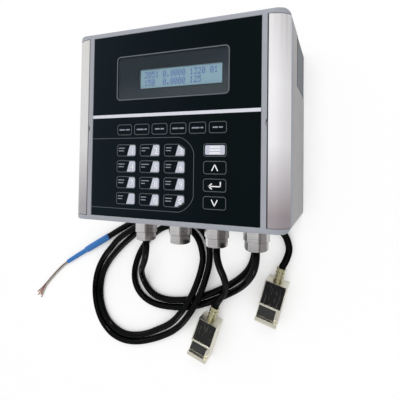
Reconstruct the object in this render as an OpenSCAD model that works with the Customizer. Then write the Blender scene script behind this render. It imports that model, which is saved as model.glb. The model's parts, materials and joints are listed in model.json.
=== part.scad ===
// Wall-mount liquid flow meter: transmitter box with display, keypad, four cable glands
// and two clamp-on sensors. It lies on its back, with the front panel facing +Z.
// The origin is the centre of the back face; +X is right and +Y is up on the panel.

/* [Housing] */
// Width of the housing
body_w = 220; // [212:1:240]
// Height of the housing
body_h = 190; // [188:1:210]
// Depth of the rear case
case_d = 103; // [90:1:120]
// Depth of the front cover
cover_d = 27; // [26:1:34]
// Radius of the corners seen from the front
corner_r = 6; // [4:0.5:8]
// Wall thickness of the rear case
case_wall = 3.2; // [2.5:0.1:4]
// Wall thickness of the front cover
cover_wall = 2.8; // [2.2:0.1:3.2]
// Width of the rounded shoulder on each side
shoulder_run = 18; // [16:0.5:20]
// Drop of the rounded shoulder at the side
shoulder_drop = 9; // [8:0.5:10]

/* [Panel] */
// Width of the frame strip beside the black panel
frame_w = 5.5; // [3.5:0.1:7]
// Width of the frame above and below the black panel
frame_h = 5; // [4:0.1:7]
// Thickness of the black front panel
panel_t = 1.5; // [1:0.1:2]
// Depth of the panel below the rim
panel_drop = 0.5; // [0.2:0.1:1]
// Height of the aluminium divider strip
divider_h = 3.2; // [2:0.2:5]
// Place of the divider strip above the middle
divider_y = 9.3; // [8:0.1:11]

/* [Display] */
// Width of the clear window
window_w = 114; // [100:1:124]
// Space above the clear window
window_above = 23; // [20:0.5:26]
// Space between the clear window and the divider strip
window_below = 15.1; // [13:0.1:18]
// Corner radius of the clear window
window_r = 3; // [1:0.5:6]
// Width of the visible display area
lcd_w = 84; // [70:1:86]
// Height of the visible display area
lcd_h = 18.4; // [15:0.2:21]
// Sideways place of the display area
lcd_x = 9; // [0:0.2:10]
// Drop of the display area below the middle of the window
lcd_drop = 1.9; // [0:0.1:2.5]

/* [Keys] */
// Width of a number key
key_w = 22.4; // [18:0.2:24]
// Distance between columns of number keys
key_pitch_x = 26; // [25.5:0.1:28]
// Space between rows of number keys
key_row_gap = 3.2; // [2.6:0.1:4]
// Space below the number keys
key_below = 12.3; // [10:0.1:14]
// Space between the function keys and the number keys
key_above = 8.35; // [7:0.05:10]
// Sideways place of the first key column
key_first_x = -45.6; // [-48:0.2:-44]
// Sideways place of the arrow key column
arrow_key_x = 45.7; // [44:0.1:60]
// Width of a function key
fkey_w = 17.4; // [14:0.2:18]
// Height of a function key
fkey_h = 11.3; // [8:0.1:11.5]
// Distance between function keys
fkey_pitch = 19.25; // [19:0.05:24]
// Space between the divider strip and the function keys
fkey_above = 6.55; // [5:0.05:9]
// Travel of a key
key_travel = 0.4; // [0.2:0.05:0.45]

/* [Flaps] */
// Thickness of the aluminium side flap
flap_t = 2; // [1.5:0.1:2.5]
// Length left at each end of a flap by the cover's rim
flap_end_rim = 4.6; // [4:0.2:6]
// Radius of the flap's hinge barrel
barrel_r = 2.2; // [2:0.1:2.6]
// Radius of the flap's hinge pins
hinge_pin_r = 0.9; // [0.7:0.05:1.1]

/* [Glands] */
// Distance between cable glands
gland_pitch = 44.5; // [38:0.5:46]
// Height of the glands above the back face
gland_z = 52; // [46:1:60]
// Thread radius of a gland
gland_thread_r = 10; // [8:0.5:11]
// Size across the flats of a gland's body
gland_body_af = 25; // [24:0.5:27]
// Size across the flats of a gland's cap nut
gland_nut_af = 22.5; // [21:0.5:24]
// Reach of a gland from the wall of the case
gland_reach = 33; // [31:0.5:36]
// Radius of the cables
cable_r = 4; // [3:0.1:4.1]

/* [Sensors] */
// Length of a sensor block
sensor_l = 50; // [44:1:60]
// Width of a sensor block
sensor_w = 25; // [22:0.5:30]
// Height of a sensor block
sensor_h = 24; // [20:0.5:28]
// Length of the label pocket
label_l = 26; // [20:0.5:28]
// Length of the recess for the pipe strap
strap_l = 15; // [12:0.5:16]
// Depth of the recess for the pipe strap
strap_d = 5; // [4.5:0.1:6]
// Length of the ribbed strain relief
stub_l = 16; // [12:0.5:20]
// Radius of the ribbed strain relief
stub_r = 5.5; // [5:0.1:6]

/* [Wall mounting] */
// Distance of a mounting hole from the side of the housing
mount_side = 9; // [8:0.1:9.5]
// Distance of a mounting hole from the end of the housing
mount_end = 14; // [13:0.5:20]
// Radius of a mounting hole
mount_r = 2.6; // [2:0.1:3.2]

/* [Hidden] */
$fn = 48;

// One overrun serves every cut
over = 1;
// Clearance between a panel and what it lies in
fit_gap = 0.15;
// Clearance round a key
key_gap = 0.25;
// Running clearance of a hinge pin in its barrel
pin_gap = 0.05;
// Clearance round a screw in its hole
screw_gap = 0.05;

// Heights above the back face
front_z = case_d + cover_d;
panel_top = front_z - panel_drop;
panel_z = panel_top - panel_t;
skin_z = panel_z - cover_wall;

// Front panel, window and key places, from the frame inwards
panel_w = body_w - 2 * shoulder_run - 2 * frame_w;
panel_h = body_h - 2 * frame_h;
divider_top = divider_y + divider_h / 2;
divider_bottom = divider_y - divider_h / 2;
window_h = panel_h / 2 - divider_top - window_above - window_below;
window_y = divider_top + window_below + window_h / 2;
lcd_y = window_y - lcd_drop;
fkey_y = divider_bottom - fkey_above - fkey_h / 2;
keys_h = fkey_y - fkey_h / 2 - key_above + panel_h / 2 - key_below;
key_h = (keys_h - 3 * key_row_gap) / 4;
key_pitch_y = key_h + key_row_gap;
key_first_y = fkey_y - fkey_h / 2 - key_above - key_h / 2;

// Shoulder arc of the cover
shoulder_r = (shoulder_run * shoulder_run + shoulder_drop * shoulder_drop)
             / (2 * shoulder_drop);
shoulder_x = body_w / 2 - shoulder_run;
shoulder_cz = front_z - shoulder_r;
edge_round = 2;

// Hinge axis of a flap, inside the shoulder arc
hinge_x = body_w / 2 - barrel_r;
hinge_z = shoulder_cz + sqrt(pow(shoulder_r - barrel_r, 2) - pow(hinge_x - shoulder_x, 2));
flap_gap = 0.4;
flap_l = body_h - 2 * flap_end_rim - 2 * flap_gap;
flap_start_angle = asin(flap_gap / shoulder_r);
flap_end_angle = atan2(hinge_x - shoulder_x, hinge_z - shoulder_cz);
groove_w = 1;
tray_x = shoulder_x + flap_gap - groove_w;
tray_seat_gap = 0.5;
tray_wall_z = hinge_z - barrel_r - tray_seat_gap;
tray_depth = 14;
tray_z = front_z - tray_depth;
tray_roof_z = tray_z - cover_wall;
hinge_pin_out = 2.4;
hinge_pin_in = 4;
notch_r = 5.5;
notch_reach = 1.8;
notch_depth = 3;
notch_y = -2;

// Cover screws and mounting columns
column_r = 6.5;
screw_head_path_r = 4.6;
mount_floor_t = 6;
mount_x = body_w - 2 * mount_side;
mount_y = body_h - 2 * mount_end;
cover_screw_x = mount_x / 2;
screw_spacing = 19;
cover_screw_y = mount_y / 2 - screw_spacing;
cover_screw_r = 2;
cover_screw_l = 30;
cover_screw_head_r = 3.5;
cover_screw_head_t = 2.6;
cover_boss_r = 4.6;
cover_boss_depth = 30;
cross_w = 1;
cross_l = 4;
cross_d = 1.2;

// Gasket between case and cover
gasket_t = 1.6;
gasket_w = 1.8;
gasket_inset = 0.7;

// Shallow recess at the upper rear of both side walls
side_recess_y = 40;
side_recess_z = 76;
side_recess_d = 1.5;

// Display parts
bezel_side = 4.5;
bezel_end = 2.7;
bezel_w = lcd_w + 2 * bezel_side;
bezel_h = lcd_h + 2 * bezel_end;
bezel_t = 4.4;
bezel_skin = 1;
bezel_gap = 0.3;
bezel_top = panel_z - bezel_gap;
sight_w = bezel_w + 2 * bezel_gap;
sight_h = bezel_h + 2 * bezel_gap;
glass_t = 2.4;
board_t = 1.6;
board_side = 9;
board_end = 6.5;
lcd_board_w = bezel_w + 2 * board_side;
lcd_board_h = bezel_h + 2 * board_end;
lcd_board_top = bezel_top - bezel_t;
post_inset = 3;
lcd_post_x = lcd_board_w / 2 - post_inset;
lcd_post_y = lcd_board_h / 2 - post_inset;
post_r = 2.6;
small_screw_r = 1.25;
small_screw_head_r = 2.4;
small_screw_head_t = 1.4;
screw_bite = 3;

// Key parts, from the panel down
key_proud = 0.3;
key_cap_t = 1.2;
key_cap_top = panel_top + key_proud;
key_cap_z = key_cap_top - key_cap_t;
key_corner = 1.8;
key_cut_x = 6.5;
key_cut_y = 4.5;
stem_r = 1.6;
collar_r = 2.6;
collar_t = 0.5;
collar_gap = 0.1;
collar_z = skin_z - collar_gap - collar_t;
// Room left between a pressed key and its switch
pressed_gap = 0.2;
switch_top = collar_z - key_travel - pressed_gap;
switch_body = 6;
switch_body_t = 3.5;
switch_stem_r = 1.75;
switch_stem_t = 0.8;
switch_board_top = switch_top - switch_body_t - switch_stem_t;
switch_board_w = 122;
switch_board_edge = 6.3;
switch_board_bottom_y = key_first_y - 3 * key_pitch_y - key_h / 2 - switch_board_edge;
switch_board_top_y = fkey_y + fkey_h / 2 + switch_board_edge / 3;
switch_post_y = (fkey_y - fkey_h / 2 + key_first_y + key_h / 2) / 2;

// Keys in order: the number keys by rows, the column on the right, the row above
key_names = ["key_1", "key_2", "key_3", "key_4", "key_5", "key_6",
             "key_7", "key_8", "key_9", "key_dot", "key_0", "key_back",
             "key_menu", "key_up", "key_enter", "key_down",
             "key_f1", "key_f2", "key_f3", "key_f4", "key_f5", "key_f6"];
fkey_first_x = -5 * fkey_pitch / 2;
number_places = [for (r = [0:3]) for (c = [0:2])
    [key_first_x + c * key_pitch_x, key_first_y - r * key_pitch_y]];
arrow_places = [for (r = [0:3]) [arrow_key_x, key_first_y - r * key_pitch_y]];
fkey_places = [for (i = [0:5]) [fkey_first_x + i * fkey_pitch, fkey_y]];
key_places = concat(number_places, arrow_places, fkey_places);
fkeys_from = len(number_places) + len(arrow_places);

// Main board on the floor of the rear case
board_side_gap = 18.8;
board_top_gap = 11.8;
board_gland_gap = 39.8;
main_board_w = body_w - 2 * case_wall - 2 * board_side_gap;
main_board_h = body_h - 2 * case_wall - board_top_gap - board_gland_gap;
main_board_y = (board_gland_gap - board_top_gap) / 2;
spacer_h = 12;
spacer_af = 5.5;
spacer_inset = 6;
main_board_z = case_wall + spacer_h;
supply_size = [58, 40, 26];
supply_edge = [40, 38];
supply_place = [supply_edge[0] - main_board_w / 2,
                main_board_y + main_board_h / 2 - supply_edge[1]];
terminal_size = [38, 10, 14];
terminal_ways = 7;
terminal_edge = 12;
terminal_y = main_board_y - main_board_h / 2 + terminal_edge;
terminal_hole_r = 1.9;
terminal_hole_d = 6;

// Cable glands, measured from the wall of the case
gland_places = [for (i = [0:3]) (i - 1.5) * gland_pitch];
cable_places = [gland_places[0], gland_places[2], gland_places[3]];
wall_y = -body_h / 2;
gland_clearance = 0.2;
washer_t = 1.5;
washer_r = 12.4;
neck_r = 11;
neck_l = 7.5;
body_hex_l = 13.5;
nut_gap = 0.5;
sleeve_r = 8.6;
sleeve_l = 6;
nut_lip = 1.2;
dome_l = 4;
thread_in = 9;
locknut_t = 4.5;
locknut_af = 24.5;
seal_gap = 0.1;
seal_wall = 2.4;
nose_wall = 1.2;
seal_r = cable_r + seal_wall;
seal_nose_r = cable_r + nose_wall;
nose_back = 0.4;
mouth_gap = 0.4;
cable_in = 16;
hex_share = 2 / sqrt(3);

// Sensor places: middle of the face with the strain relief, and the turn about Z
sensor_1_place = [3, -226.2];
sensor_1_turn = -18.4;
sensor_2_place = [83.4, -169.6];
sensor_2_turn = -15.1;
sensor_axis_z = 12;
label_in = 0.8;
label_t = 0.4;
label_rim = 1;
ridge_l = 2;
ridge_h = 0.7;
lip_bevel = 2.2;
wedge_w = 18.5;
wedge_l = 14;
wedge_shift = 2;
stub_bore_gap = 0.1;
rib_t = 2.2;
rib_rise = 0.9;
rib_count = 3;

// Cable routes on the table: points chosen by hand, along the middle of the cable.
// low is where a cable lies on the table, high where it lies on another cable.
low = 4.2;
high = 12.9;
signal_route = [
    [-66.75, -127, 52], [-67.5, -140, 50.6], [-71, -151, 46.5], [-77, -160.5, 39.5],
    [-84, -168.5, 31], [-90, -175.5, 22], [-94.2, -182.5, 14], [-95.8, -190.5, 8.2],
    [-93.8, -198.6, 5], [-88.4, -205.8, low], [-80.4, -211.2, low], [-69, -214.3, low],
    [-55, -214.6, low],
    [-38, -212, low], [-21, -207.5, low], [-6, -201.2, low], [8, -194, low], [20.5, -186.6, low],
    [31.5, -179, low], [41, -170.5, low], [48.5, -160.5, low], [53, -148.5, low],
    [54.5, -135.5, low], [52, -123, low], [45.5, -112.8, low], [35.5, -105.6, low],
    [22.5, -101.4, low], [6, -99.7, low], [-12, -99.6, low], [-36, -99.6, low],
    [-60, -99.8, low], [-80, -102, low], [-98, -108.5, low], [-116, -117.8, low],
    [-136, -129, low], [-154.5, -140.4, 4.6]];
sensor_1_route = [
    [22.25, -127, 52], [22.6, -141, 50.6], [24.4, -153, 46], [26.4, -164.5, 38.5],
    [26.4, -175.5, 30.5], [23.6, -185.5, 23], [18.2, -194.6, 16.8], [12.2, -203, 13],
    [8.05, -211, 12]];
sensor_2_route = [
    [66.75, -127, 52], [66, -140, 50.8], [62.5, -152, 46.5], [56.5, -162.5, 39],
    [49.5, -171.5, 30], [41.5, -180, 20.5], [32.5, -188, 12], [22.5, -195.3, 6.5],
    [10, -202.9, low], [-4, -210.2, low], [-19.5, -216.7, low], [-37, -221.3, low],
    [-56, -223.6, low], [-75, -223.6, low], [-91, -219.4, low], [-103, -211, low],
    [-110, -199, low], [-111.5, -185, low], [-108.5, -170.5, low], [-102.5, -156, low],
    [-93.5, -142.5, low], [-82, -130.5, low], [-68, -121.5, low], [-52, -117.2, low],
    [-36, -118.6, low], [-24, -125.5, 4.4], [-15.7, -137, 5], [-11, -154, 6.6], [-12, -168, 9],
    [-15.2, -181.6, 11.6], [-20.3, -195.4, high], [-27.3, -209.4, high], [-36.2, -223.2, high],
    [-47, -236.2, 11], [-59.3, -246.6, 8], [-73.4, -255.3, 5.2], [-89, -263.5, low],
    [-106, -269.2, low], [-123, -271, low], [-138, -267.5, low], [-152, -258.5, low],
    [-161.5, -245, low], [-166.6, -228.5, low], [-167, -211, low], [-163.5, -193.5, low],
    [-155.5, -178, low], [-145.4, -165, low], [-132.5, -151.5, low], [-118.5, -139, low],
    [-103, -126.3, low], [-86, -115.6, low], [-68, -109.8, low], [-49, -108.3, low],
    [-31, -110, low], [-16, -118, 4.4], [-6.5, -129.5, 5], [-2, -144, 6.6], [-1.4, -160, 9],
    [-4.3, -176, 11.6], [-9.3, -192, high], [-16.3, -208, high], [-25.3, -224, high],
    [-36.5, -239, 11], [-50, -251.8, 8], [-66, -262.3, 5.2], [-84, -271, low],
    [-104, -277.6, low], [-125, -279.8, low], [-145, -275, low], [-161, -262.5, low],
    [-171, -245.5, low], [-175.8, -226, low], [-175.8, -206, low], [-171, -187, low],
    [-162, -170, low], [-150, -155.5, 5], [-135, -141.5, 9.6], [-116, -129, 12.6],
    [-96, -117.5, 12.6], [-76, -108, 12.6], [-56, -104.2, 12.6], [-34, -103.8, 12.6],
    [-10, -104, 12.6], [16, -104, 12.6], [38, -103.8, 12.6], [53, -103.6, 11.4],
    [67, -104.4, 8], [80, -109, 5], [90.5, -119.6, low], [95, -133, 6.2], [92.4, -144.8, 9.8],
    [87.6, -154.1, 12]];
sleeve_route = [
    [-154.5, -140.4, 4.6], [-157.5, -142.2, 4.6], [-189, -160.9, 4.6], [-193, -163.3, 3.9],
    [-210, -173.5, 3.6], [-227, -184, 3.4]];
sleeve_radii = [4.6, 4.6, 4.6, 3.5, 3.3, 3];
wire_r = 0.8;
wire_routes = [
    [[-227.57, -183.24, 3.3], [-240.62, -193.08, 2.8], [-255.67, -207.53, 2.8], [-268.75, -221.34, 2.8],
     [-280.01, -232.01, 1.6], [-287.32, -237.7, 1]],
    [[-226.43, -184.76, 3.3], [-239.38, -194.52, 2.8], [-254.33, -208.87, 2.8], [-267.25, -222.66, 2.8],
     [-274.99, -235.99, 1.6], [-279.63, -245.07, 1]],
    [[-227.57, -183.24, 1.4], [-240.62, -193.08, 1], [-255.67, -207.53, 1], [-268.75, -221.34, 1],
     [-278.36, -233.32, 1], [-286.28, -242.35, 1]],
    [[-226.43, -184.76, 1.4], [-239.38, -194.52, 1], [-254.33, -208.87, 1], [-267.25, -222.66, 1],
     [-276.64, -234.68, 1], [-281.21, -241.27, 1]]];

// Unit vector along v
function unit(v) = v / norm(v);
// Direction of a route at point i, halfway between the two legs that meet there
function heading(p, i) =
    i == 0 ? unit(p[1] - p[0]) :
    i == len(p) - 1 ? unit(p[i] - p[i - 1]) :
    unit(unit(p[i] - p[i - 1]) + unit(p[i + 1] - p[i]));
// One ring of n points of radius r, square to the route at point i
function ring(p, i, r, n) =
    let (t = heading(p, i), side = unit(cross(t, [0, 0, 1])), top = cross(side, t))
    [for (k = [0:n - 1])
        p[i] + r * (cos((k + 0.5) * 360 / n) * side + sin((k + 0.5) * 360 / n) * top)];
// Least distance between points of a route that lie more than skip points apart
function self_distance(p, skip) =
    min([for (i = [0:len(p) - 1]) for (k = [i + skip:1:len(p) - 1]) norm(p[i] - p[k])]);

// A round tube with n sides along the points p, with one radius for each point
module swept_tube(p, radii, n) {
    m = len(p);
    rings = [for (i = [0:m - 1]) for (q = ring(p, i, radii[i], n)) q];
    walls = [for (i = [0:m - 2]) for (k = [0:n - 1])
        [i * n + k, i * n + (k + 1) % n, (i + 1) * n + (k + 1) % n, (i + 1) * n + k]];
    split = [for (w = walls) for (h = [0:1]) h == 0 ? [w[0], w[1], w[2]] : [w[0], w[2], w[3]]];
    first_cap = [[for (k = [0:n - 1]) n - 1 - k]];
    last_cap = [[for (k = [0:n - 1]) (m - 1) * n + k]];
    polyhedron(rings, concat(first_cap, split, last_cap));
}

// Rectangle with round corners, centred
module rounded_rectangle(w, h, r) {
    square([w - 2 * r, h], center = true);
    square([w, h - 2 * r], center = true);
    for (x = [-1, 1], y = [-1, 1])
        translate([x * (w / 2 - r), y * (h / 2 - r)]) circle(r);
}

// Block with round corners seen from above, standing on z
module slab(w, h, r, z, t) {
    translate([0, 0, z]) linear_extrude(t) rounded_rectangle(w, h, r);
}

// Plain block, centred on x and y, standing on z
module block(w, h, z, t) {
    translate([-w / 2, -h / 2, z]) cube([w, h, t]);
}

// The same child on the left and on the right
module both_sides() {
    children();
    mirror([1, 0, 0]) children();
}

// The same child in all four quarters
module four_ways() {
    both_sides() {
        children();
        mirror([0, 1, 0]) children();
    }
}

// Turns a profile drawn in x and z into a bar along Y, centred
module bar_along_y(l) {
    rotate([90, 0, 0]) translate([0, 0, -l / 2]) linear_extrude(l) children();
}

// Hexagonal bar along Y, from y0 towards -Y
module hex_bar(af, y0, l) {
    translate([0, y0, 0]) rotate([90, 0, 0])
        cylinder(r = af / 2 * hex_share, h = l, $fn = 6);
}

// Round bar along Y, from y0 towards -Y
module rod(r, y0, l) {
    translate([0, y0, 0]) rotate([90, 0, 0]) cylinder(r = r, h = l);
}

module rear_case() {
    color("darkgray") difference() {
        union() {
            difference() {
                slab(body_w, body_h, corner_r, 0, case_d);
                slab(body_w - 2 * case_wall, body_h - 2 * case_wall, corner_r - case_wall,
                     case_wall, case_d);
            }
            intersection() {
                slab(body_w, body_h, corner_r, 0, case_d);
                four_ways() {
                    translate([mount_x / 2, mount_y / 2, 0]) cylinder(r = column_r, h = case_d);
                    translate([cover_screw_x, cover_screw_y, 0])
                        cylinder(r = cover_boss_r, h = case_d);
                }
            }
            case_ribs();
        }
        four_ways() {
            translate([mount_x / 2, mount_y / 2, -over]) cylinder(r = mount_r, h = case_d);
            translate([mount_x / 2, mount_y / 2, mount_floor_t])
                cylinder(r = screw_head_path_r, h = case_d);
            translate([cover_screw_x, cover_screw_y, case_d - cover_boss_depth])
                cylinder(r = cover_screw_r + screw_gap, h = case_d);
        }
        for (x = gland_places)
            translate([x, 0, gland_z]) rod(gland_thread_r + gland_clearance, wall_y + 2 * case_wall,
                                           3 * case_wall);
        both_sides() side_recess();
        gasket_seat();
    }
}

// Stiffening ribs on the floor of the rear case
module case_ribs() {
    rib_w = 2;
    rib_h = 5;
    for (x = [-body_w / 6, body_w / 6])
        translate([x - rib_w / 2, -body_h / 2 + case_wall / 2, case_wall / 2])
            cube([rib_w, body_h - case_wall, rib_h]);
}

// Hollow at the upper rear of a side wall
module side_recess() {
    translate([body_w / 2 - side_recess_d, side_recess_y, -over])
        cube([side_recess_d + over, body_h / 2, side_recess_z + over]);
}

// Groove in the rim of the case for the gasket
module gasket_seat() {
    gasket_shape(case_d - gasket_t / 2, gasket_t, fit_gap);
}

// Ring along the rim, inside the wall
module gasket_shape(z, t, grow) {
    difference() {
        slab(body_w - 2 * gasket_inset + 2 * grow, body_h - 2 * gasket_inset + 2 * grow,
             corner_r - gasket_inset, z, t);
        slab(body_w - 2 * gasket_inset - 2 * gasket_w - 2 * grow,
             body_h - 2 * gasket_inset - 2 * gasket_w - 2 * grow,
             corner_r - gasket_inset - gasket_w, z - over, t + 2 * over);
    }
}

module cover_gasket() {
    color("dimgray") gasket_shape(case_d - gasket_t / 2, gasket_t, 0);
}

// Outline of the cover across its width, in x and z
module shoulder_profile(w, x0, cz, r, top, z0) {
    half = w / 2;
    translate([-x0, z0]) square([2 * x0, top - z0]);
    for (s = [-1, 1])
        translate([s * x0, cz]) intersection() {
            circle(r, $fn = 96);
            translate([s > 0 ? 0 : x0 - half, z0 - cz]) square([half - x0, r + cz - z0]);
        }
}

// The cover's outer form before anything is cut
module cover_blank() {
    intersection() {
        slab(body_w, body_h, corner_r, case_d, cover_d);
        bar_along_y(body_h)
            shoulder_profile(body_w, shoulder_x, shoulder_cz, shoulder_r, front_z, case_d);
        rotate([90, 0, 90]) translate([0, 0, -body_w / 2]) linear_extrude(body_w)
            rim_profile();
    }
}

// Outline of the cover along its height, in y and z, with rounded front edges
module rim_profile() {
    half = body_h / 2;
    translate([-half, case_d]) square([body_h, cover_d - edge_round]);
    translate([-half + edge_round, case_d]) square([body_h - 2 * edge_round, cover_d]);
    for (s = [-1, 1])
        translate([s * (half - edge_round), front_z - edge_round]) circle(edge_round);
}

// The hollow inside the cover
module cover_hollow() {
    inner_w = body_w - 2 * case_wall;
    inner_h = body_h - 2 * case_wall;
    slab(2 * (tray_x - cover_wall), inner_h, corner_r - case_wall, case_d - over,
         skin_z - case_d + over);
    slab(inner_w, inner_h, corner_r - case_wall, case_d - over, tray_roof_z - case_d + over);
}

// One of the trays that the flaps close
module flap_tray() {
    tray_h = flap_l + 2 * flap_gap;
    translate([tray_x, -tray_h / 2, tray_z])
        cube([body_w / 2 - case_wall - tray_x, tray_h, cover_d]);
    translate([tray_x, -tray_h / 2, tray_wall_z]) cube([body_w / 2, tray_h, cover_d]);
    translate([shoulder_x + notch_r - notch_reach, notch_y, front_z - notch_depth])
        cylinder(r = notch_r, h = cover_d);
}

module front_cover() {
    color("gray") difference() {
        union() {
            difference() {
                cover_blank();
                cover_hollow();
                both_sides() flap_tray();
            }
            four_ways() cover_columns();
            lcd_posts();
            switch_posts();
        }
        translate([0, 0, panel_z]) block_cut(panel_w, panel_h, panel_t + panel_drop);
        translate([lcd_x, lcd_y, skin_z - over]) linear_extrude(cover_wall + 2 * over)
            square([sight_w, sight_h], center = true);
        for (p = key_places)
            translate([p[0], p[1], skin_z - over])
                cylinder(r = stem_r + key_gap, h = cover_wall + 2 * over);
        four_ways() {
            translate([mount_x / 2, mount_y / 2, case_d - over])
                cylinder(r = screw_head_path_r, h = tray_depth + cover_d);
            translate([cover_screw_x, cover_screw_y, case_d - over])
                cylinder(r = cover_screw_r + screw_gap, h = cover_d);
        }
        both_sides() hinge_pin_seats();
        gasket_seat();
        for (p = lcd_post_places())
            translate([p[0], p[1], lcd_board_top - over])
                cylinder(r = small_screw_r, h = screw_bite + fit_gap + over);
        for (p = switch_post_places())
            translate([p[0], p[1], switch_board_top - over])
                cylinder(r = small_screw_r, h = screw_bite + fit_gap + over);
    }
}

// Cut from z = 0 upward, centred on x and y, open at the top
module block_cut(w, h, t) {
    translate([-w / 2, -h / 2, 0]) cube([w, h, t + over]);
}

// Columns in the cover that meet those of the rear case
module cover_columns() {
    intersection() {
        slab(body_w, body_h, corner_r, case_d, cover_d);
        union() {
            translate([mount_x / 2, mount_y / 2, case_d])
                cylinder(r = column_r, h = tray_z - case_d);
            translate([cover_screw_x, cover_screw_y, case_d])
                cylinder(r = cover_boss_r, h = tray_z - case_d);
        }
    }
}

function lcd_post_places() =
    [for (x = [-1, 1]) for (y = [-1, 1]) [lcd_x + x * lcd_post_x, lcd_y + y * lcd_post_y]];
function switch_post_places() =
    [for (x = [-1, 1]) for (y = [switch_board_bottom_y + post_inset, switch_post_y])
        [x * (switch_board_w / 2 - post_inset), y]];

module lcd_posts() {
    for (p = lcd_post_places())
        translate([p[0], p[1], lcd_board_top]) cylinder(r = post_r, h = skin_z - lcd_board_top);
}

module switch_posts() {
    for (p = switch_post_places())
        translate([p[0], p[1], switch_board_top])
            cylinder(r = post_r, h = skin_z - switch_board_top);
}

// Blind holes in the rim for the flap's pins
module hinge_pin_seats() {
    for (s = [-1, 1])
        translate([hinge_x, s * (flap_l / 2 + flap_gap), hinge_z]) rotate([-s * 90, 0, 0])
            translate([0, 0, -over]) cylinder(r = hinge_pin_r, h = hinge_pin_out + over);
}

// Short steel pins that carry the flaps, pressed into the rim
module flap_hinge_pins() {
    color("silver") both_sides() for (s = [-1, 1])
        translate([hinge_x, s * (flap_l / 2 - hinge_pin_in), hinge_z]) rotate([-s * 90, 0, 0])
            cylinder(r = hinge_pin_r, h = hinge_pin_in + flap_gap + hinge_pin_out);
}

// One side flap, on the right: a strip of the shoulder arc with a barrel at its outer edge
module flap() {
    color("gainsboro") difference() {
        bar_along_y(flap_l) {
            translate([shoulder_x, shoulder_cz]) intersection() {
                difference() {
                    circle(shoulder_r, $fn = 96);
                    circle(shoulder_r - flap_t, $fn = 96);
                }
                polygon([[0, 0], flap_ray(flap_start_angle), flap_ray(flap_end_angle / 2),
                         flap_ray(flap_end_angle)]);
            }
            translate([hinge_x, hinge_z]) circle(barrel_r);
        }
        for (s = [-1, 1])
            translate([hinge_x, s * flap_l / 2, hinge_z]) rotate([s * 90, 0, 0])
                translate([0, 0, -over])
                    cylinder(r = hinge_pin_r + pin_gap, h = hinge_pin_in + over + flap_gap);
    }
}

// A ray of the flap's sector, longer than the arc's radius
function flap_ray(a) = 2 * shoulder_r * [sin(a), cos(a)];

// Rectangular piece of the front panel between two heights
module panel_piece(y0, y1) {
    translate([-panel_w / 2 + fit_gap, y0 + fit_gap, panel_z])
        cube([panel_w - 2 * fit_gap, y1 - y0 - 2 * fit_gap, panel_t]);
}

module display_panel() {
    color("black") difference() {
        panel_piece(divider_y + divider_h / 2, panel_h / 2);
        translate([0, window_y, panel_z - over]) linear_extrude(panel_t + 2 * over)
            window_shape(fit_gap);
    }
}

// Outline of the clear window, larger by a clearance
module window_shape(grow) {
    rounded_rectangle(window_w + 2 * grow, window_h + 2 * grow, window_r + grow);
}

module display_window() {
    color("lightblue", 0.4) translate([0, window_y, panel_z]) linear_extrude(panel_t)
        window_shape(0);
}

module keypad_panel() {
    color("black") difference() {
        panel_piece(-panel_h / 2, divider_y - divider_h / 2);
        for (i = [0:len(key_places) - 1])
            translate([key_places[i][0], key_places[i][1], panel_z - over])
                linear_extrude(panel_t + 2 * over) key_shape(i, 0);
    }
}

module divider_strip() {
    color("silver") translate([-panel_w / 2 + fit_gap, divider_y - divider_h / 2, panel_z])
        cube([panel_w - 2 * fit_gap, divider_h, panel_t + panel_drop / 2]);
}

// Outline of key i with round corners, drawn in by a clearance; two keys have a cut corner
module key_shape(i, inset) {
    w = (i < fkeys_from ? key_w : fkey_w) - 2 * inset;
    h = (i < fkeys_from ? key_h : fkey_h) - 2 * inset;
    side = key_names[i] == "key_3" ? 1 : key_names[i] == "key_back" ? -1 : 0;
    difference() {
        rounded_rectangle(w, h, key_corner - inset);
        if (side != 0)
            polygon([[w / 2 - key_cut_x, side * h / 2], [w / 2, side * (h / 2 - key_cut_y)],
                     [w / 2 + over, side * (h / 2 - key_cut_y)], [w / 2 + over, side * (h / 2 + over)],
                     [w / 2 - key_cut_x, side * (h / 2 + over)]]);
    }
}

// Key i: a cap in the panel, a stem through the cover and a collar behind it
module key(i) {
    color("dimgray") translate([key_places[i][0], key_places[i][1], 0]) {
        translate([0, 0, key_cap_z]) linear_extrude(key_cap_t) key_shape(i, key_gap);
        translate([0, 0, collar_z]) cylinder(r = stem_r, h = key_cap_z - collar_z + key_cap_t / 2);
        translate([0, 0, collar_z]) cylinder(r = collar_r, h = collar_t);
    }
}

module lcd_bezel() {
    color("black") difference() {
        translate([lcd_x, lcd_y, 0]) block(bezel_w, bezel_h, lcd_board_top, bezel_t);
        translate([lcd_x, lcd_y, 0])
            block(bezel_w - 2 * bezel_skin, bezel_h - 2 * bezel_skin, lcd_board_top - over,
                  bezel_t - bezel_skin + over);
        translate([lcd_x, lcd_y, 0]) block(lcd_w, lcd_h, lcd_board_top, bezel_t + over);
    }
}

module lcd_glass() {
    color("lightsteelblue") translate([lcd_x, lcd_y, 0])
        block(bezel_w - 2 * bezel_skin - 2 * fit_gap, bezel_h - 2 * bezel_skin - 2 * fit_gap,
              bezel_top - bezel_skin - glass_t - fit_gap, glass_t);
}

module lcd_board() {
    color("darkgreen") difference() {
        translate([lcd_x, lcd_y, 0])
            block(lcd_board_w, lcd_board_h, lcd_board_top - board_t, board_t);
        for (p = lcd_post_places())
            translate([p[0], p[1], lcd_board_top - board_t - over])
                cylinder(r = small_screw_r + screw_gap, h = board_t + 2 * over);
    }
    color("lightyellow") translate([lcd_x, lcd_y, 0])
        block(bezel_w - 4 * bezel_skin, bezel_h - 4 * bezel_skin, lcd_board_top,
              bezel_t - bezel_skin - glass_t - 2 * fit_gap);
}

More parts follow.
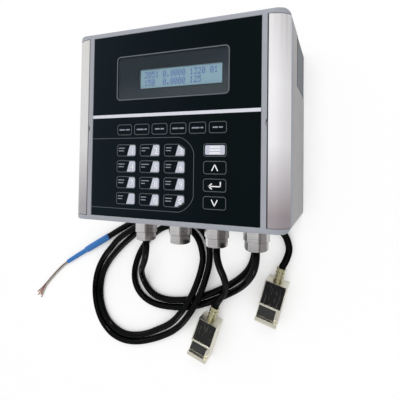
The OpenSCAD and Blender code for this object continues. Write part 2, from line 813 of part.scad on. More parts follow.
module switch_board() {
    color("darkgreen") difference() {
        translate([-switch_board_w / 2, switch_board_bottom_y, switch_board_top - board_t])
            cube([switch_board_w, switch_board_top_y - switch_board_bottom_y, board_t]);
        for (p = switch_post_places())
            translate([p[0], p[1], switch_board_top - board_t - over])
                cylinder(r = small_screw_r + screw_gap, h = board_t + 2 * over);
    }
}

// One small push switch under each key
module tactile_switches() {
    color("darkslategray") for (p = key_places) translate([p[0], p[1], 0]) {
        block(switch_body, switch_body, switch_board_top, switch_body_t);
        translate([0, 0, switch_board_top])
            cylinder(r = switch_stem_r, h = switch_body_t + switch_stem_t);
    }
}

// Screw with a round head and a cross recess, its head's underside at z = 0, pointing down
module screw(r, l, head_r, head_t) {
    difference() {
        union() {
            translate([0, 0, -l]) cylinder(r = r, h = l + head_t / 2);
            cylinder(r = head_r, h = head_t);
        }
        translate([-cross_l / 2, -cross_w / 2, head_t - cross_d]) cube([cross_l, cross_w, head_t]);
        translate([-cross_w / 2, -cross_l / 2, head_t - cross_d]) cube([cross_w, cross_l, head_t]);
    }
}

module cover_screws() {
    color("silver") four_ways() translate([cover_screw_x, cover_screw_y, tray_z])
        screw(cover_screw_r, cover_screw_l, cover_screw_head_r, cover_screw_head_t);
}

// A small screw that holds a board from behind, its head towards the back
module board_screw(l) {
    mirror([0, 0, 1]) {
        translate([0, 0, -l]) cylinder(r = small_screw_r - screw_gap, h = l);
        cylinder(r = small_screw_head_r, h = small_screw_head_t);
    }
}

module board_screws() {
    short_l = board_t + screw_bite;
    color("silver") {
        for (p = lcd_post_places())
            translate([p[0], p[1], lcd_board_top - board_t]) board_screw(short_l);
        for (p = switch_post_places())
            translate([p[0], p[1], switch_board_top - board_t]) board_screw(short_l);
        for (p = spacer_places())
            translate([p[0], p[1], main_board_z + board_t]) mirror([0, 0, 1])
                board_screw(board_t + spacer_h / 2);
    }
}

function spacer_places() =
    [for (x = [-1, 1]) for (y = [-1, 1])
        [x * (main_board_w / 2 - spacer_inset), main_board_y + y * (main_board_h / 2 - spacer_inset)]];

module board_spacers() {
    color("gold") for (p = spacer_places()) translate([p[0], p[1], case_wall]) difference() {
        cylinder(r = spacer_af / 2 * hex_share, h = spacer_h, $fn = 6);
        translate([0, 0, spacer_h / 3]) cylinder(r = small_screw_r, h = spacer_h);
    }
}

module main_board() {
    color("darkgreen") difference() {
        translate([0, main_board_y, 0]) block(main_board_w, main_board_h, main_board_z, board_t);
        for (p = spacer_places())
            translate([p[0], p[1], main_board_z - over])
                cylinder(r = small_screw_r + screw_gap, h = board_t + 2 * over);
    }
}

module power_module() {
    color("black") translate([supply_place[0], supply_place[1], 0])
        block(supply_size[0], supply_size[1], main_board_z + board_t, supply_size[2]);
}

// Three rows of screw terminals facing the glands
module terminal_blocks() {
    way = terminal_size[0] / terminal_ways;
    top = main_board_z + board_t + terminal_size[2];
    color("green") for (i = [-1:1]) translate([i * gland_pitch, terminal_y, 0]) difference() {
        block(terminal_size[0], terminal_size[1], main_board_z + board_t, terminal_size[2]);
        for (k = [0:terminal_ways - 1])
            translate([(k + 0.5) * way - terminal_size[0] / 2, 0, top - terminal_hole_d])
                cylinder(r = terminal_hole_r, h = terminal_hole_d + over, $fn = 24);
    }
}

// Puts a gland piece at each of the four holes
module at_glands() {
    for (x = gland_places) translate([x, 0, gland_z]) children();
}

body_hex_y = wall_y - washer_t - neck_l;
nut_y = body_hex_y - body_hex_l - nut_gap;
nut_end = wall_y - gland_reach;

module gland_washers() {
    color("black") at_glands() difference() {
        rod(washer_r, wall_y, washer_t);
        rod(gland_thread_r + gland_clearance, wall_y + over, washer_t + 2 * over);
    }
}

module gland_bodies() {
    color("silver") at_glands() difference() {
        union() {
            rod(gland_thread_r, wall_y + case_wall + thread_in, case_wall + thread_in + washer_t);
            rod(neck_r, wall_y - washer_t, neck_l + body_hex_l / 2);
            hex_bar(gland_body_af, body_hex_y, body_hex_l);
            rod(sleeve_r, body_hex_y - body_hex_l, sleeve_l);
        }
        rod(cable_r + mouth_gap, wall_y + 2 * cable_in, gland_reach + 3 * cable_in);
    }
}

module gland_locknuts() {
    color("silver") at_glands() difference() {
        hex_bar(locknut_af, wall_y + case_wall + locknut_t, locknut_t);
        rod(gland_thread_r + screw_gap, wall_y + case_wall + locknut_t + over,
            locknut_t + 2 * over);
    }
}

// Cap nuts: a hexagon with a domed end and a lip that keeps the seal in
module gland_nuts() {
    hex_l = nut_y - nut_end - dome_l;
    dome_r = gland_nut_af / 2 * hex_share;
    color("silver") at_glands() difference() {
        intersection() {
            hex_bar(gland_nut_af, nut_y, nut_y - nut_end);
            translate([0, nut_y, 0]) rotate([90, 0, 0]) rotate_extrude($fn = 96)
                polygon(concat([[0, 0], [dome_r, 0], [dome_r, hex_l]],
                    [for (a = [15:15:75]) [dome_r - dome_l * (1 - cos(a)),
                                           hex_l + dome_l * sin(a)]],
                    [[dome_r - dome_l, nut_y - nut_end], [0, nut_y - nut_end]]));
        }
        rod(sleeve_r + screw_gap, nut_y + over, sleeve_l - nut_gap + over + gland_clearance);
        rod(seal_r + screw_gap, nut_y + over, nut_y - nut_end - nut_lip + over);
        rod(seal_nose_r + screw_gap, nut_y, nut_y - nut_end + over);
    }
}

// Rubber seals that close round the cables, with a nose in the mouth of the cap nut
module gland_seals() {
    seal_y = body_hex_y - body_hex_l - sleeve_l - gland_clearance;
    color("black") at_glands() difference() {
        union() {
            rod(seal_r, seal_y, seal_y - nut_end - nut_lip - screw_gap);
            rod(seal_nose_r, seal_y, seal_y - nut_end - nose_back);
        }
        rod(cable_r + seal_gap, seal_y + over, seal_y - nut_end + 2 * over);
    }
}

// The part of a cable that its gland holds
module held_cable(x) {
    translate([x, 0, gland_z]) rod(cable_r, wall_y + cable_in, cable_in + gland_reach + over);
}

module signal_cable() {
    color("black") {
        held_cable(cable_places[0]);
        swept_tube(signal_route, [for (p = signal_route) cable_r], 8);
    }
}

module sensor_cable_1() {
    color("black") {
        held_cable(cable_places[1]);
        swept_tube(sensor_1_route, [for (p = sensor_1_route) cable_r], 8);
    }
}

module sensor_cable_2() {
    color("black") {
        held_cable(cable_places[2]);
        swept_tube(sensor_2_route, [for (p = sensor_2_route) cable_r], 8);
    }
    echo(least_gap_of_sensor_cable_2 = self_distance(sensor_2_route, 4) - 2 * cable_r);
}

module signal_sleeve() {
    color("steelblue") swept_tube(sleeve_route, sleeve_radii, 12);
}

module signal_wires() {
    color("sienna") for (w = wire_routes) swept_tube(w, [for (p = w) wire_r], 6);
}

// Puts a sensor piece, drawn along -Y from the origin, at its place on the table
module at_sensor(place, turn) {
    translate([place[0], place[1], 0]) rotate([0, 0, turn]) children();
}

strap_y = -label_in - label_l - ridge_l;
lip_y = strap_y - strap_l;

// Steel block of a sensor: label pocket, ridge, strap recess and bevelled lip
module sensor_housing() {
    color("silver") difference() {
        union() {
            translate([-sensor_w / 2, -sensor_l, 0]) cube([sensor_w, sensor_l, sensor_h]);
            translate([-sensor_w / 2, strap_y, 0])
                cube([sensor_w, ridge_l, sensor_h + ridge_h]);
        }
        translate([-sensor_w / 2 + label_rim, strap_y + ridge_l, sensor_h - label_in])
            cube([sensor_w - 2 * label_rim, label_l, sensor_h]);
        translate([-sensor_w, lip_y, sensor_h - strap_d]) cube([2 * sensor_w, strap_l, sensor_h]);
        translate([0, -sensor_l, sensor_h]) rotate([45, 0, 0])
            cube([2 * sensor_w, lip_bevel * sqrt(2), lip_bevel * sqrt(2)], center = true);
        translate([-wedge_w / 2 - wedge_shift - fit_gap,
                   lip_y + strap_l / 2 - wedge_l / 2 - fit_gap, -over])
            cube([wedge_w + 2 * fit_gap, wedge_l + 2 * fit_gap, sensor_h + 2 * over]);
        translate([0, 0, sensor_axis_z]) rod(stub_r / 2 + stub_bore_gap, over, label_l / 2);
    }
}

module sensor_label() {
    color("black")
        translate([-sensor_w / 2 + label_rim + fit_gap, strap_y + ridge_l + fit_gap,
                   sensor_h - label_in])
            cube([sensor_w - 2 * label_rim - 2 * fit_gap, label_l - 2 * fit_gap, label_t]);
}

// Dark insert that carries the sound from the crystal to the pipe
module sensor_wedge() {
    color("dimgray")
        translate([-wedge_w / 2 - wedge_shift, lip_y + strap_l / 2 - wedge_l / 2, 0])
        cube([wedge_w, wedge_l, sensor_h - strap_d]);
}

// Ribbed strain relief, with a spigot that sits in the block
module sensor_stub() {
    rib_step = (stub_l - rib_t) / rib_count;
    color("darkkhaki") translate([0, 0, sensor_axis_z]) {
        rod(stub_r / 2, stub_l / 2, stub_l / 2 + label_l / 3);
        rod(stub_r - rib_rise, stub_l, stub_l);
        for (i = [0:rib_count]) rod(stub_r, rib_t + i * rib_step, rib_t);
    }
}

module at_sensor_1() {
    at_sensor(sensor_1_place, sensor_1_turn) children();
}

module at_sensor_2() {
    at_sensor(sensor_2_place, sensor_2_turn) children();
}

module sensor_labels() {
    at_sensor_1() sensor_label();
    at_sensor_2() sensor_label();
}

module sensor_wedges() {
    at_sensor_1() sensor_wedge();
    at_sensor_2() sensor_wedge();
}

rear_case();
cover_gasket();
front_cover();
display_panel();
keypad_panel();
divider_strip();
display_window();
lcd_bezel();
lcd_glass();
lcd_board();
switch_board();
tactile_switches();
cover_screws();
flap_hinge_pins();
main_board();
board_spacers();
board_screws();
power_module();
terminal_blocks();
gland_bodies();
gland_washers();
gland_locknuts();
gland_nuts();
gland_seals();
signal_cable();
sensor_cable_1();
sensor_cable_2();
signal_sleeve();
signal_wires();
at_sensor_1() sensor_housing();  // sensor_housing_1
at_sensor_2() sensor_housing();  // sensor_housing_2
sensor_labels();
sensor_wedges();
at_sensor_1() sensor_stub();  // sensor_stub_1
at_sensor_2() sensor_stub();  // sensor_stub_2
mirror([1, 0, 0]) flap();  // left_flap
flap();  // right_flap
for (i = [0:len(key_names) - 1])
    key(i);
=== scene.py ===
"""Looks of a wall-mount liquid flow meter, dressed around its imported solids.

The meter lies on its back on a pale floor: front panel up, glands towards -Y. Lengths are in
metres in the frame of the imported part, and places come from the boxes of its nodes.
"""

import json
import logging
import math
from collections.abc import Iterator, Mapping, Sequence
from contextlib import contextmanager
from dataclasses import dataclass
from enum import Enum

import bpy
from mathutils import Matrix, Vector

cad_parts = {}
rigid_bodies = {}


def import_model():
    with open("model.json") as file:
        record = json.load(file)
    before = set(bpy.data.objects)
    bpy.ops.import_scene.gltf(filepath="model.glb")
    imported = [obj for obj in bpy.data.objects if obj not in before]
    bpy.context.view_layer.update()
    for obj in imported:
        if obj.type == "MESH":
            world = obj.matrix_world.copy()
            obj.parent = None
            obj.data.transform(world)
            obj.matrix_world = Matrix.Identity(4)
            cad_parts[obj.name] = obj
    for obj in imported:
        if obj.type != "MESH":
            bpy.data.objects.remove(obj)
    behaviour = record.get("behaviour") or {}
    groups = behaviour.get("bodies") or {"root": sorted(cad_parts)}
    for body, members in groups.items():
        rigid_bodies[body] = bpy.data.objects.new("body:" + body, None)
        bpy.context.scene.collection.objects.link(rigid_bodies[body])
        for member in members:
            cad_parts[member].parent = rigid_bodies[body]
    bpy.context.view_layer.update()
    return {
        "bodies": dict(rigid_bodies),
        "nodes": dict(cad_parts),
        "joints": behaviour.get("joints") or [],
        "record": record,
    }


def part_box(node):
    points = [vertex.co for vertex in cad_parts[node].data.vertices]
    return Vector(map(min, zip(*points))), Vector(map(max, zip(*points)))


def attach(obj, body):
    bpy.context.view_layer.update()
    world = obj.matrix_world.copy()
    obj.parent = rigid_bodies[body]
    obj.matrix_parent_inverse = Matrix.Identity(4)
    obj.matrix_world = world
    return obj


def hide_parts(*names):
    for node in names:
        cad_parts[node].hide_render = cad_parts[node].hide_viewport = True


log = logging.getLogger("flow_meter")

MM = 0.001
Colour = tuple[float, float, float, float]
Size = tuple[float, float]
Point = tuple[float, float, float]
Route = tuple[Point, ...]
Piece = bpy.types.Object
Material = bpy.types.Material

CORNER_STEPS = 8
EDGE_STEPS = 2
EDGE_ANGLE = math.radians(38)
FLAT_ANGLE = math.radians(0.4)
WELD = 0.002 * MM
CUT_WELD = 0.001 * MM
TUBE_STEPS = 5

# Cable routes, point by point along the middle of each cable
SIGNAL_ROUTE: Route = (
    (-0.06675, -0.127, 0.052), (-0.0675, -0.14, 0.0506), (-0.071, -0.151, 0.0465),
    (-0.077, -0.1605, 0.0395), (-0.084, -0.1685, 0.031), (-0.09, -0.1755, 0.022),
    (-0.0942, -0.1825, 0.014), (-0.0958, -0.1905, 0.0082), (-0.0938, -0.1986, 0.005),
    (-0.0884, -0.2058, 0.0042), (-0.0804, -0.2112, 0.0042), (-0.069, -0.2143, 0.0042),
    (-0.055, -0.2146, 0.0042), (-0.038, -0.212, 0.0042), (-0.021, -0.2075, 0.0042),
    (-0.006, -0.2012, 0.0042), (0.008, -0.194, 0.0042), (0.0205, -0.1866, 0.0042),
    (0.0315, -0.179, 0.0042), (0.041, -0.1705, 0.0042), (0.0485, -0.1605, 0.0042),
    (0.053, -0.1485, 0.0042), (0.0545, -0.1355, 0.0042), (0.052, -0.123, 0.0042),
    (0.0455, -0.1128, 0.0042), (0.0355, -0.1056, 0.0042), (0.0225, -0.1014, 0.0042),
    (0.006, -0.0997, 0.0042), (-0.012, -0.0996, 0.0042), (-0.036, -0.0996, 0.0042),
    (-0.06, -0.0998, 0.0042), (-0.08, -0.102, 0.0042), (-0.098, -0.1085, 0.0042),
    (-0.116, -0.1178, 0.0042), (-0.136, -0.129, 0.0042), (-0.1545, -0.1404, 0.0046),
)
SENSOR_1_ROUTE: Route = (
    (0.02225, -0.127, 0.052), (0.0226, -0.141, 0.0506), (0.0244, -0.153, 0.046),
    (0.0264, -0.1645, 0.0385), (0.0264, -0.1755, 0.0305), (0.0236, -0.1855, 0.023),
    (0.0182, -0.1946, 0.0168), (0.0122, -0.203, 0.013), (0.00805, -0.211, 0.012),
)
SENSOR_2_ROUTE: Route = (
    (0.06675, -0.127, 0.052), (0.066, -0.14, 0.0508), (0.0625, -0.152, 0.0465),
    (0.0565, -0.1625, 0.039), (0.0495, -0.1715, 0.03), (0.0415, -0.18, 0.0205),
    (0.0325, -0.188, 0.012), (0.0225, -0.1953, 0.0065), (0.01, -0.2029, 0.0042),
    (-0.004, -0.2102, 0.0042), (-0.0195, -0.2167, 0.0042), (-0.037, -0.2213, 0.0042),
    (-0.056, -0.2236, 0.0042), (-0.075, -0.2236, 0.0042), (-0.091, -0.2194, 0.0042),
    (-0.103, -0.211, 0.0042), (-0.11, -0.199, 0.0042), (-0.1115, -0.185, 0.0042),
    (-0.1085, -0.1705, 0.0042), (-0.1025, -0.156, 0.0042), (-0.0935, -0.1425, 0.0042),
    (-0.082, -0.1305, 0.0042), (-0.068, -0.1215, 0.0042), (-0.052, -0.1172, 0.0042),
    (-0.036, -0.1186, 0.0042), (-0.024, -0.1255, 0.0044), (-0.0157, -0.137, 0.005),
    (-0.011, -0.154, 0.0066), (-0.012, -0.168, 0.009), (-0.0152, -0.1816, 0.0116),
    (-0.0203, -0.1954, 0.0129), (-0.0273, -0.2094, 0.0129), (-0.0362, -0.2232, 0.0129),
    (-0.047, -0.2362, 0.011), (-0.0593, -0.2466, 0.008), (-0.0734, -0.2553, 0.0052),
    (-0.089, -0.2635, 0.0042), (-0.106, -0.2692, 0.0042), (-0.123, -0.271, 0.0042),
    (-0.138, -0.2675, 0.0042), (-0.152, -0.2585, 0.0042), (-0.1615, -0.245, 0.0042),
    (-0.1666, -0.2285, 0.0042), (-0.167, -0.211, 0.0042), (-0.1635, -0.1935, 0.0042),
    (-0.1555, -0.178, 0.0042), (-0.1454, -0.165, 0.0042), (-0.1325, -0.1515, 0.0042),
    (-0.1185, -0.139, 0.0042), (-0.103, -0.1263, 0.0042), (-0.086, -0.1156, 0.0042),
    (-0.068, -0.1098, 0.0042), (-0.049, -0.1083, 0.0042), (-0.031, -0.11, 0.0042),
    (-0.016, -0.118, 0.0044), (-0.0065, -0.1295, 0.005), (-0.002, -0.144, 0.0066),
    (-0.0014, -0.16, 0.009), (-0.0043, -0.176, 0.0116), (-0.0093, -0.192, 0.0129),
    (-0.0163, -0.208, 0.0129), (-0.0253, -0.224, 0.0129), (-0.0365, -0.239, 0.011),
    (-0.05, -0.2518, 0.008), (-0.066, -0.2623, 0.0052), (-0.084, -0.271, 0.0042),
    (-0.104, -0.2776, 0.0042), (-0.125, -0.2798, 0.0042), (-0.145, -0.275, 0.0042),
    (-0.161, -0.2625, 0.0042), (-0.171, -0.2455, 0.0042), (-0.1758, -0.226, 0.0042),
    (-0.1758, -0.206, 0.0042), (-0.171, -0.187, 0.0042), (-0.162, -0.17, 0.0042),
    (-0.15, -0.1555, 0.005), (-0.135, -0.1415, 0.0096), (-0.116, -0.129, 0.0126),
    (-0.096, -0.1175, 0.0126), (-0.076, -0.108, 0.0126), (-0.056, -0.1042, 0.0126),
    (-0.034, -0.1038, 0.0126), (-0.01, -0.104, 0.0126), (0.016, -0.104, 0.0126),
    (0.038, -0.1038, 0.0126), (0.053, -0.1036, 0.0114), (0.067, -0.1044, 0.008),
    (0.08, -0.109, 0.005), (0.0905, -0.1196, 0.0042), (0.095, -0.133, 0.0062),
    (0.0924, -0.1448, 0.0098), (0.0876, -0.1541, 0.012),
)
SLEEVE_ROUTE: Route = (
    (-0.1545, -0.1404, 0.0046), (-0.1575, -0.1422, 0.0046), (-0.189, -0.1609, 0.0046),
    (-0.193, -0.1633, 0.0039), (-0.21, -0.1735, 0.0036), (-0.227, -0.184, 0.0034),
)
WIRE_ROUTES: tuple[Route, ...] = (
    ((-0.22757, -0.18324, 0.0033), (-0.24062, -0.19308, 0.0028), (-0.25567, -0.20753, 0.0028),
     (-0.26875, -0.22134, 0.0028), (-0.28001, -0.23201, 0.0016), (-0.28732, -0.2377, 0.001)),
    ((-0.22643, -0.18476, 0.0033), (-0.23938, -0.19452, 0.0028), (-0.25433, -0.20887, 0.0028),
     (-0.26725, -0.22266, 0.0028), (-0.27499, -0.23599, 0.0016), (-0.27963, -0.24507, 0.001)),
    ((-0.22757, -0.18324, 0.0014), (-0.24062, -0.19308, 0.001), (-0.25567, -0.20753, 0.001),
     (-0.26875, -0.22134, 0.001), (-0.27836, -0.23332, 0.001), (-0.28628, -0.24235, 0.001)),
    ((-0.22643, -0.18476, 0.0014), (-0.23938, -0.19452, 0.001), (-0.25433, -0.20887, 0.001),
     (-0.26725, -0.22266, 0.001), (-0.27664, -0.23468, 0.001), (-0.28121, -0.24127, 0.001)),
)


def shade(red: int, green: int, blue: int, alpha: float = 1.0) -> Colour:
    """Turns a colour as seen on a screen into the renderer's linear values.

    Args:
        red: Red from 0 to 255.
        green: Green from 0 to 255.
        blue: Blue from 0 to 255.
        alpha: Opacity from 0 to 1.

    Returns:
        The colour as linear red, green, blue and the opacity.
    """
    return (*(((c / 255 + 0.055) / 1.055) ** 2.4 if c > 10 else c / 255 / 12.92
              for c in (red, green, blue)), alpha)


def darker(colour: Colour, share: float) -> Colour:
    """Returns the colour with each part lowered by a share of itself."""
    return (*(part * (1 - share) for part in colour[:3]), colour[3])


class Num:
    """A number that a material works out, used like a number in Python."""

    def __init__(self, shader: "Nodes", socket: bpy.types.NodeSocket) -> None:
        """Wraps one output of a node."""
        self.shader = shader
        self.socket = socket

    def _math(self, operation: str, first: "Num | float", second: "Num | float") -> "Num":
        """Adds one Math node and returns its result."""
        node = self.shader.add("ShaderNodeMath", {"operation": operation}, {0: first, 1: second})
        return Num(self.shader, node.outputs[0])

    def __add__(self, other: "Num | float") -> "Num":
        """Adds."""
        return self._math("ADD", self, other)

    def __radd__(self, other: float) -> "Num":
        """Adds, with the plain number first."""
        return self._math("ADD", other, self)

    def __sub__(self, other: "Num | float") -> "Num":
        """Subtracts."""
        return self._math("SUBTRACT", self, other)

    def __rsub__(self, other: float) -> "Num":
        """Subtracts from a plain number."""
        return self._math("SUBTRACT", other, self)

    def __mul__(self, other: "Num | float") -> "Num":
        """Multiplies."""
        return self._math("MULTIPLY", self, other)

    def __rmul__(self, other: float) -> "Num":
        """Multiplies, with the plain number first."""
        return self._math("MULTIPLY", other, self)

    def __truediv__(self, other: "Num | float") -> "Num":
        """Divides."""
        return self._math("DIVIDE", self, other)

    def __gt__(self, other: "Num | float") -> "Num":
        """Gives 1 where this number is the greater one, and 0 elsewhere."""
        return self._math("GREATER_THAN", self, other)

    def power(self, exponent: float) -> "Num":
        """Raises to a power."""
        return self._math("POWER", self, exponent)

    def fraction(self) -> "Num":
        """Gives the part after the point."""
        return self._math("FRACT", self, 0.0)

    def within(self, low: float, high: float) -> "Num":
        """Keeps the number between two limits."""
        return self._math("MINIMUM", self._math("MAXIMUM", self, low), high)


Value = Num | float | bpy.types.NodeSocket | Sequence[float]


class Nodes:
    """A tree of shader nodes that is filled by method calls."""

    def __init__(self, tree: bpy.types.NodeTree) -> None:
        """Empties the tree."""
        self.tree = tree
        tree.nodes.clear()

    def add(self, kind: str, settings: Mapping[str, object] | None = None,
            values: Mapping[int | str, Value] | None = None) -> bpy.types.Node:
        """Adds one node.

        Args:
            kind: The node's type.
            settings: Properties of the node, set first.
            values: Its inputs by number or name, each a value or a link.

        Returns:
            The new node.
        """
        node = self.tree.nodes.new(kind)
        for key, setting in (settings or {}).items():
            setattr(node, key, setting)
        for key, value in (values or {}).items():
            self.feed(node.inputs[key], value)
        return node

    def feed(self, socket: bpy.types.NodeSocket, value: Value) -> None:
        """Links an input or sets its value.

        Args:
            socket: The input.
            value: A value, or an output to link.
        """
        if isinstance(value, Num):
            self.tree.links.new(value.socket, socket)
        elif isinstance(value, bpy.types.NodeSocket):
            self.tree.links.new(value, socket)
        else:
            socket.default_value = value

    def mix(self, first: Value, second: Value, amount: Value) -> bpy.types.NodeSocket:
        """Blends two colours."""
        node = self.add("ShaderNodeMix", {"data_type": "RGBA"}, {0: amount, 6: first, 7: second})
        return node.outputs[2]

    def split(self, vector: Value) -> tuple[Num, ...]:
        """Splits a vector into its three numbers."""
        node = self.add("ShaderNodeSeparateXYZ", None, {0: vector})
        return tuple(Num(self, output) for output in node.outputs)


class Shader(Nodes):
    """The nodes of one material, ending in one Principled surface."""

    def __init__(self, name: str) -> None:
        """Makes an empty material with its surface and output.

        Args:
            name: Name of the material.
        """
        self.material = bpy.data.materials.new(name)
        self.material.use_nodes = True
        super().__init__(self.material.node_tree)
        self.surface = self.add("ShaderNodeBsdfPrincipled")
        self.output = self.add("ShaderNodeOutputMaterial", None, {0: self.surface.outputs[0]})
        self.place = self.add("ShaderNodeTexCoord").outputs["Object"]

    def stretched(self, scale: Point, turn: float = 0.0) -> bpy.types.NodeSocket:
        """The place on the object, scaled along each axis after a turn about Z.

        Args:
            scale: Scale along each axis.
            turn: Turn about Z.

        Returns:
            The scaled place.
        """
        turned = self.add("ShaderNodeMapping", {"vector_type": "TEXTURE"},
                          {"Vector": self.place, "Rotation": (0, 0, turn)})
        return self.add("ShaderNodeMapping", None,
                        {"Vector": turned.outputs[0], "Scale": scale}).outputs[0]

    def noise(self, scale: float, detail: float = 2.0, place: Value | None = None,
              roughness: float = 0.5) -> Num:
        """Soft random variation from 0 to 1, with that many features to the metre.

        Args:
            scale: Features to the metre.
            detail: Number of finer layers.
            place: Where it is read, if not at the place on the object.
            roughness: Weight of the finer layers.

        Returns:
            The variation.
        """
        node = self.add("ShaderNodeTexNoise", None,
                        {"Vector": self.place if place is None else place, "Scale": scale,
                         "Detail": detail, "Roughness": roughness})
        return Num(self, node.outputs[0])

    def bump(self, height: Num, depth: float, strength: float = 1.0) -> bpy.types.NodeSocket:
        """Relief of a depth in metres.

        Args:
            height: Height from 0 to 1.
            depth: Depth that 1 stands for.
            strength: Share of the relief that shows.

        Returns:
            The bent normal.
        """
        node = self.add("ShaderNodeBump", None,
                        {"Strength": strength, "Distance": depth, "Height": height.socket})
        return node.outputs[0]

    def finish(self, **values: Value) -> Material:
        """Sets the surface's inputs, named with underlines, and returns the material.

        Args:
            values: Value or link of each input.

        Returns:
            The material.
        """
        for key, value in values.items():
            self.feed(self.surface.inputs[key.replace("_", " ").title().replace("Ior", "IOR")],
                      value)
        return self.material


@dataclass(frozen=True)
class Finish:
    """A surface finish. Each kind of finish builds its own nodes."""

    name: str
    colour: Colour
    roughness: float = 0.4
    smoothest: float = 0.05

    def material(self) -> Material:
        """Returns the finish's material, made at its first use.

        Returns:
            The material.
        """
        name = f"{self.name}_look"
        found = bpy.data.materials.get(name)
        return found or self.build(Shader(name))

    def build(self, shader: Shader) -> Material:
        """Builds the nodes. Each kind of finish has its own."""
        raise NotImplementedError


@dataclass(frozen=True)
class Moulded(Finish):
    """Moulded plastic with a fine spark grain, faint clouds and rubbed spots."""

    grain: float = 0.35 * MM
    depth: float = 0.02 * MM
    clouding: float = 0.06
    specular: float = 0.5
    clouds: float = 22
    rubs: float = 65
    rub_from: float = 0.58
    rub_gain: float = 2.5
    rub_tint: float = 0.08
    cloud_gloss: float = 0.14
    grain_gloss: float = 0.1

    def build(self, shader: Shader) -> Material:
        """Grain in the relief, clouds in the colour and both in the gloss.

        Args:
            shader: Nodes of the new material.

        Returns:
            The material.
        """
        cloud = shader.noise(self.clouds, detail=4)
        grain = shader.noise(1 / self.grain, detail=2)
        rub = shader.noise(self.rubs, detail=5, roughness=0.7)
        rubbed = (rub - self.rub_from).within(0, 1) * self.rub_gain
        colour = shader.mix(self.colour, darker(self.colour, self.clouding * 2), cloud)
        return shader.finish(
            base_color=shader.mix(colour, darker(self.colour, -self.rub_tint), rubbed),
            roughness=(self.roughness + (cloud - 0.5) * self.cloud_gloss
                       + (grain - 0.5) * self.grain_gloss
                       - rubbed * self.rub_tint).within(self.smoothest, 1),
            specular_ior_level=self.specular,
            normal=shader.bump(grain, self.depth))


@dataclass(frozen=True)
class Brushed(Finish):
    """Metal with fine drawn lines, and a painted reflection that changes its tone towards each
    end along Y.
    """

    smoothest: float = 0.1
    along: float = 14
    across: float = 5200
    line_depth: float = 0.006 * MM
    metallic: float = 1.0
    contrast: float = 0.16
    low_end_painted_reflection: Colour = shade(178, 169, 174)
    high_end_painted_reflection: Colour | None = None
    painted_reflection_from: float = -0.02
    painted_reflection_length: float = 0.06
    band_stretch: Point = (420, 3, 420)
    line_share: float = 0.6
    tone_from: float = 0.28
    tone_gain: float = 1.8
    dull_spots: float = 30
    line_gloss: float = 0.2
    dull_gloss: float = 0.12

    def build(self, shader: Shader) -> Material:
        """Long thin lines over broad bands, with a painted reflection towards the ends.

        Args:
            shader: Nodes of the new material.

        Returns:
            The material.
        """
        lines = shader.noise(1, detail=3, place=shader.stretched(
            (self.across, self.along, self.across)))
        bands = shader.noise(1, detail=2, place=shader.stretched(self.band_stretch))
        dull = shader.noise(self.dull_spots, detail=4)
        tone = (lines * self.line_share + bands * (1 - self.line_share)
                - self.tone_from).within(0, 1) * self.tone_gain
        y = shader.split(shader.place)[1]
        # Painted reflection: the colour shifts to other tones towards each end along Y, standing
        # in for what the metal reflects there.
        low = ((self.painted_reflection_from - y) / self.painted_reflection_length).within(0, 1)
        high = ((y - self.painted_reflection_length / 2) / self.painted_reflection_length).within(0, 1)
        plain = shader.mix(self.colour, self.high_end_painted_reflection or self.colour, high)
        plain = shader.mix(plain, self.low_end_painted_reflection, low)
        dim = shader.mix(darker(self.colour, self.contrast),
                         darker(self.low_end_painted_reflection, self.contrast), low)
        return shader.finish(
            base_color=shader.mix(dim, plain, tone),
            metallic=self.metallic,
            roughness=(self.roughness + (0.5 - lines) * self.line_gloss
                       + (dull - 0.5) * self.dull_gloss).within(self.smoothest, 1),
            normal=shader.bump(lines, self.line_depth))


@dataclass(frozen=True)
class Plated(Finish):
    """Plated or ground metal with fine scratches and a slight tarnish, and optionally a painted
    shade on one flat of each gland in a row.
    """

    smoothest: float = 0.04
    tarnish: float = 0.18
    scratch_depth: float = 0.004 * MM
    metallic: float = 1.0
    turning: float = 0.0
    painted_shade_flat: Colour | None = None
    row_start: float = -0.06675
    row_pitch: float = 0.0445
    flat_edge: float = 0.0042
    flat_slope: float = 900
    far_edge_share: float = 2.6
    far_slope: float = 500
    painted_rim_light: float = 0.7
    scratch_stretch: Point = (3800, 260, 3800)
    turning_stretch: Point = (25, 1100, 25)
    pits: float = 2200
    clouds: float = 90
    cloud_gloss: float = 0.2
    scratch_gloss: float = 0.14
    scratch_share: float = 0.6

    def build(self, shader: Shader) -> Material:
        """Tarnish in the colour, scratches in the gloss, turning marks in the relief, and any
        painted shade.

        Args:
            shader: Nodes of the new material.

        Returns:
            The material.
        """
        cloud = shader.noise(self.clouds, detail=4, roughness=0.6)
        scratch = shader.noise(1, detail=2, place=shader.stretched(self.scratch_stretch))
        pits = shader.noise(self.pits, detail=2)
        marks = shader.noise(1, detail=2, place=shader.stretched(self.turning_stretch))
        colour = shader.mix(self.colour, darker(self.colour, self.tarnish * 2), cloud)
        # Painted shade: one flat of each gland is darkened as if it reflected dark surroundings,
        # with a painted lighter rim near its far edge.
        if self.painted_shade_flat:
            colour = shader.mix(colour, self.painted_shade_flat, self.painted_shade_share(shader))
        return shader.finish(
            base_color=colour,
            metallic=self.metallic,
            roughness=(self.roughness + (cloud - 0.5) * self.cloud_gloss
                       + (scratch - 0.5) * self.scratch_gloss).within(self.smoothest, 1),
            normal=shader.bump(scratch * self.scratch_share + pits * (1 - self.scratch_share)
                               + marks * self.turning, self.scratch_depth))

    def painted_shade_share(self, shader: Shader) -> Num:
        """Gives 1 on the flat of each gland in the row that carries painted shade, a dark
        reflection painted into the colour, less near that flat's far edge where a painted rim
        light shows, and 0 elsewhere.

        Args:
            shader: Nodes of the material.

        Returns:
            The share of the painted shade.
        """
        turn = (shader.split(shader.place)[0] - self.row_start) / self.row_pitch + 0.5
        aside = (turn.fraction() - 0.5) * self.row_pitch
        far = (aside - self.flat_edge * self.far_edge_share) * self.far_slope
        near = (aside - self.flat_edge) * self.flat_slope
        return near.within(0, 1) * (1 - far.within(0, self.painted_rim_light))


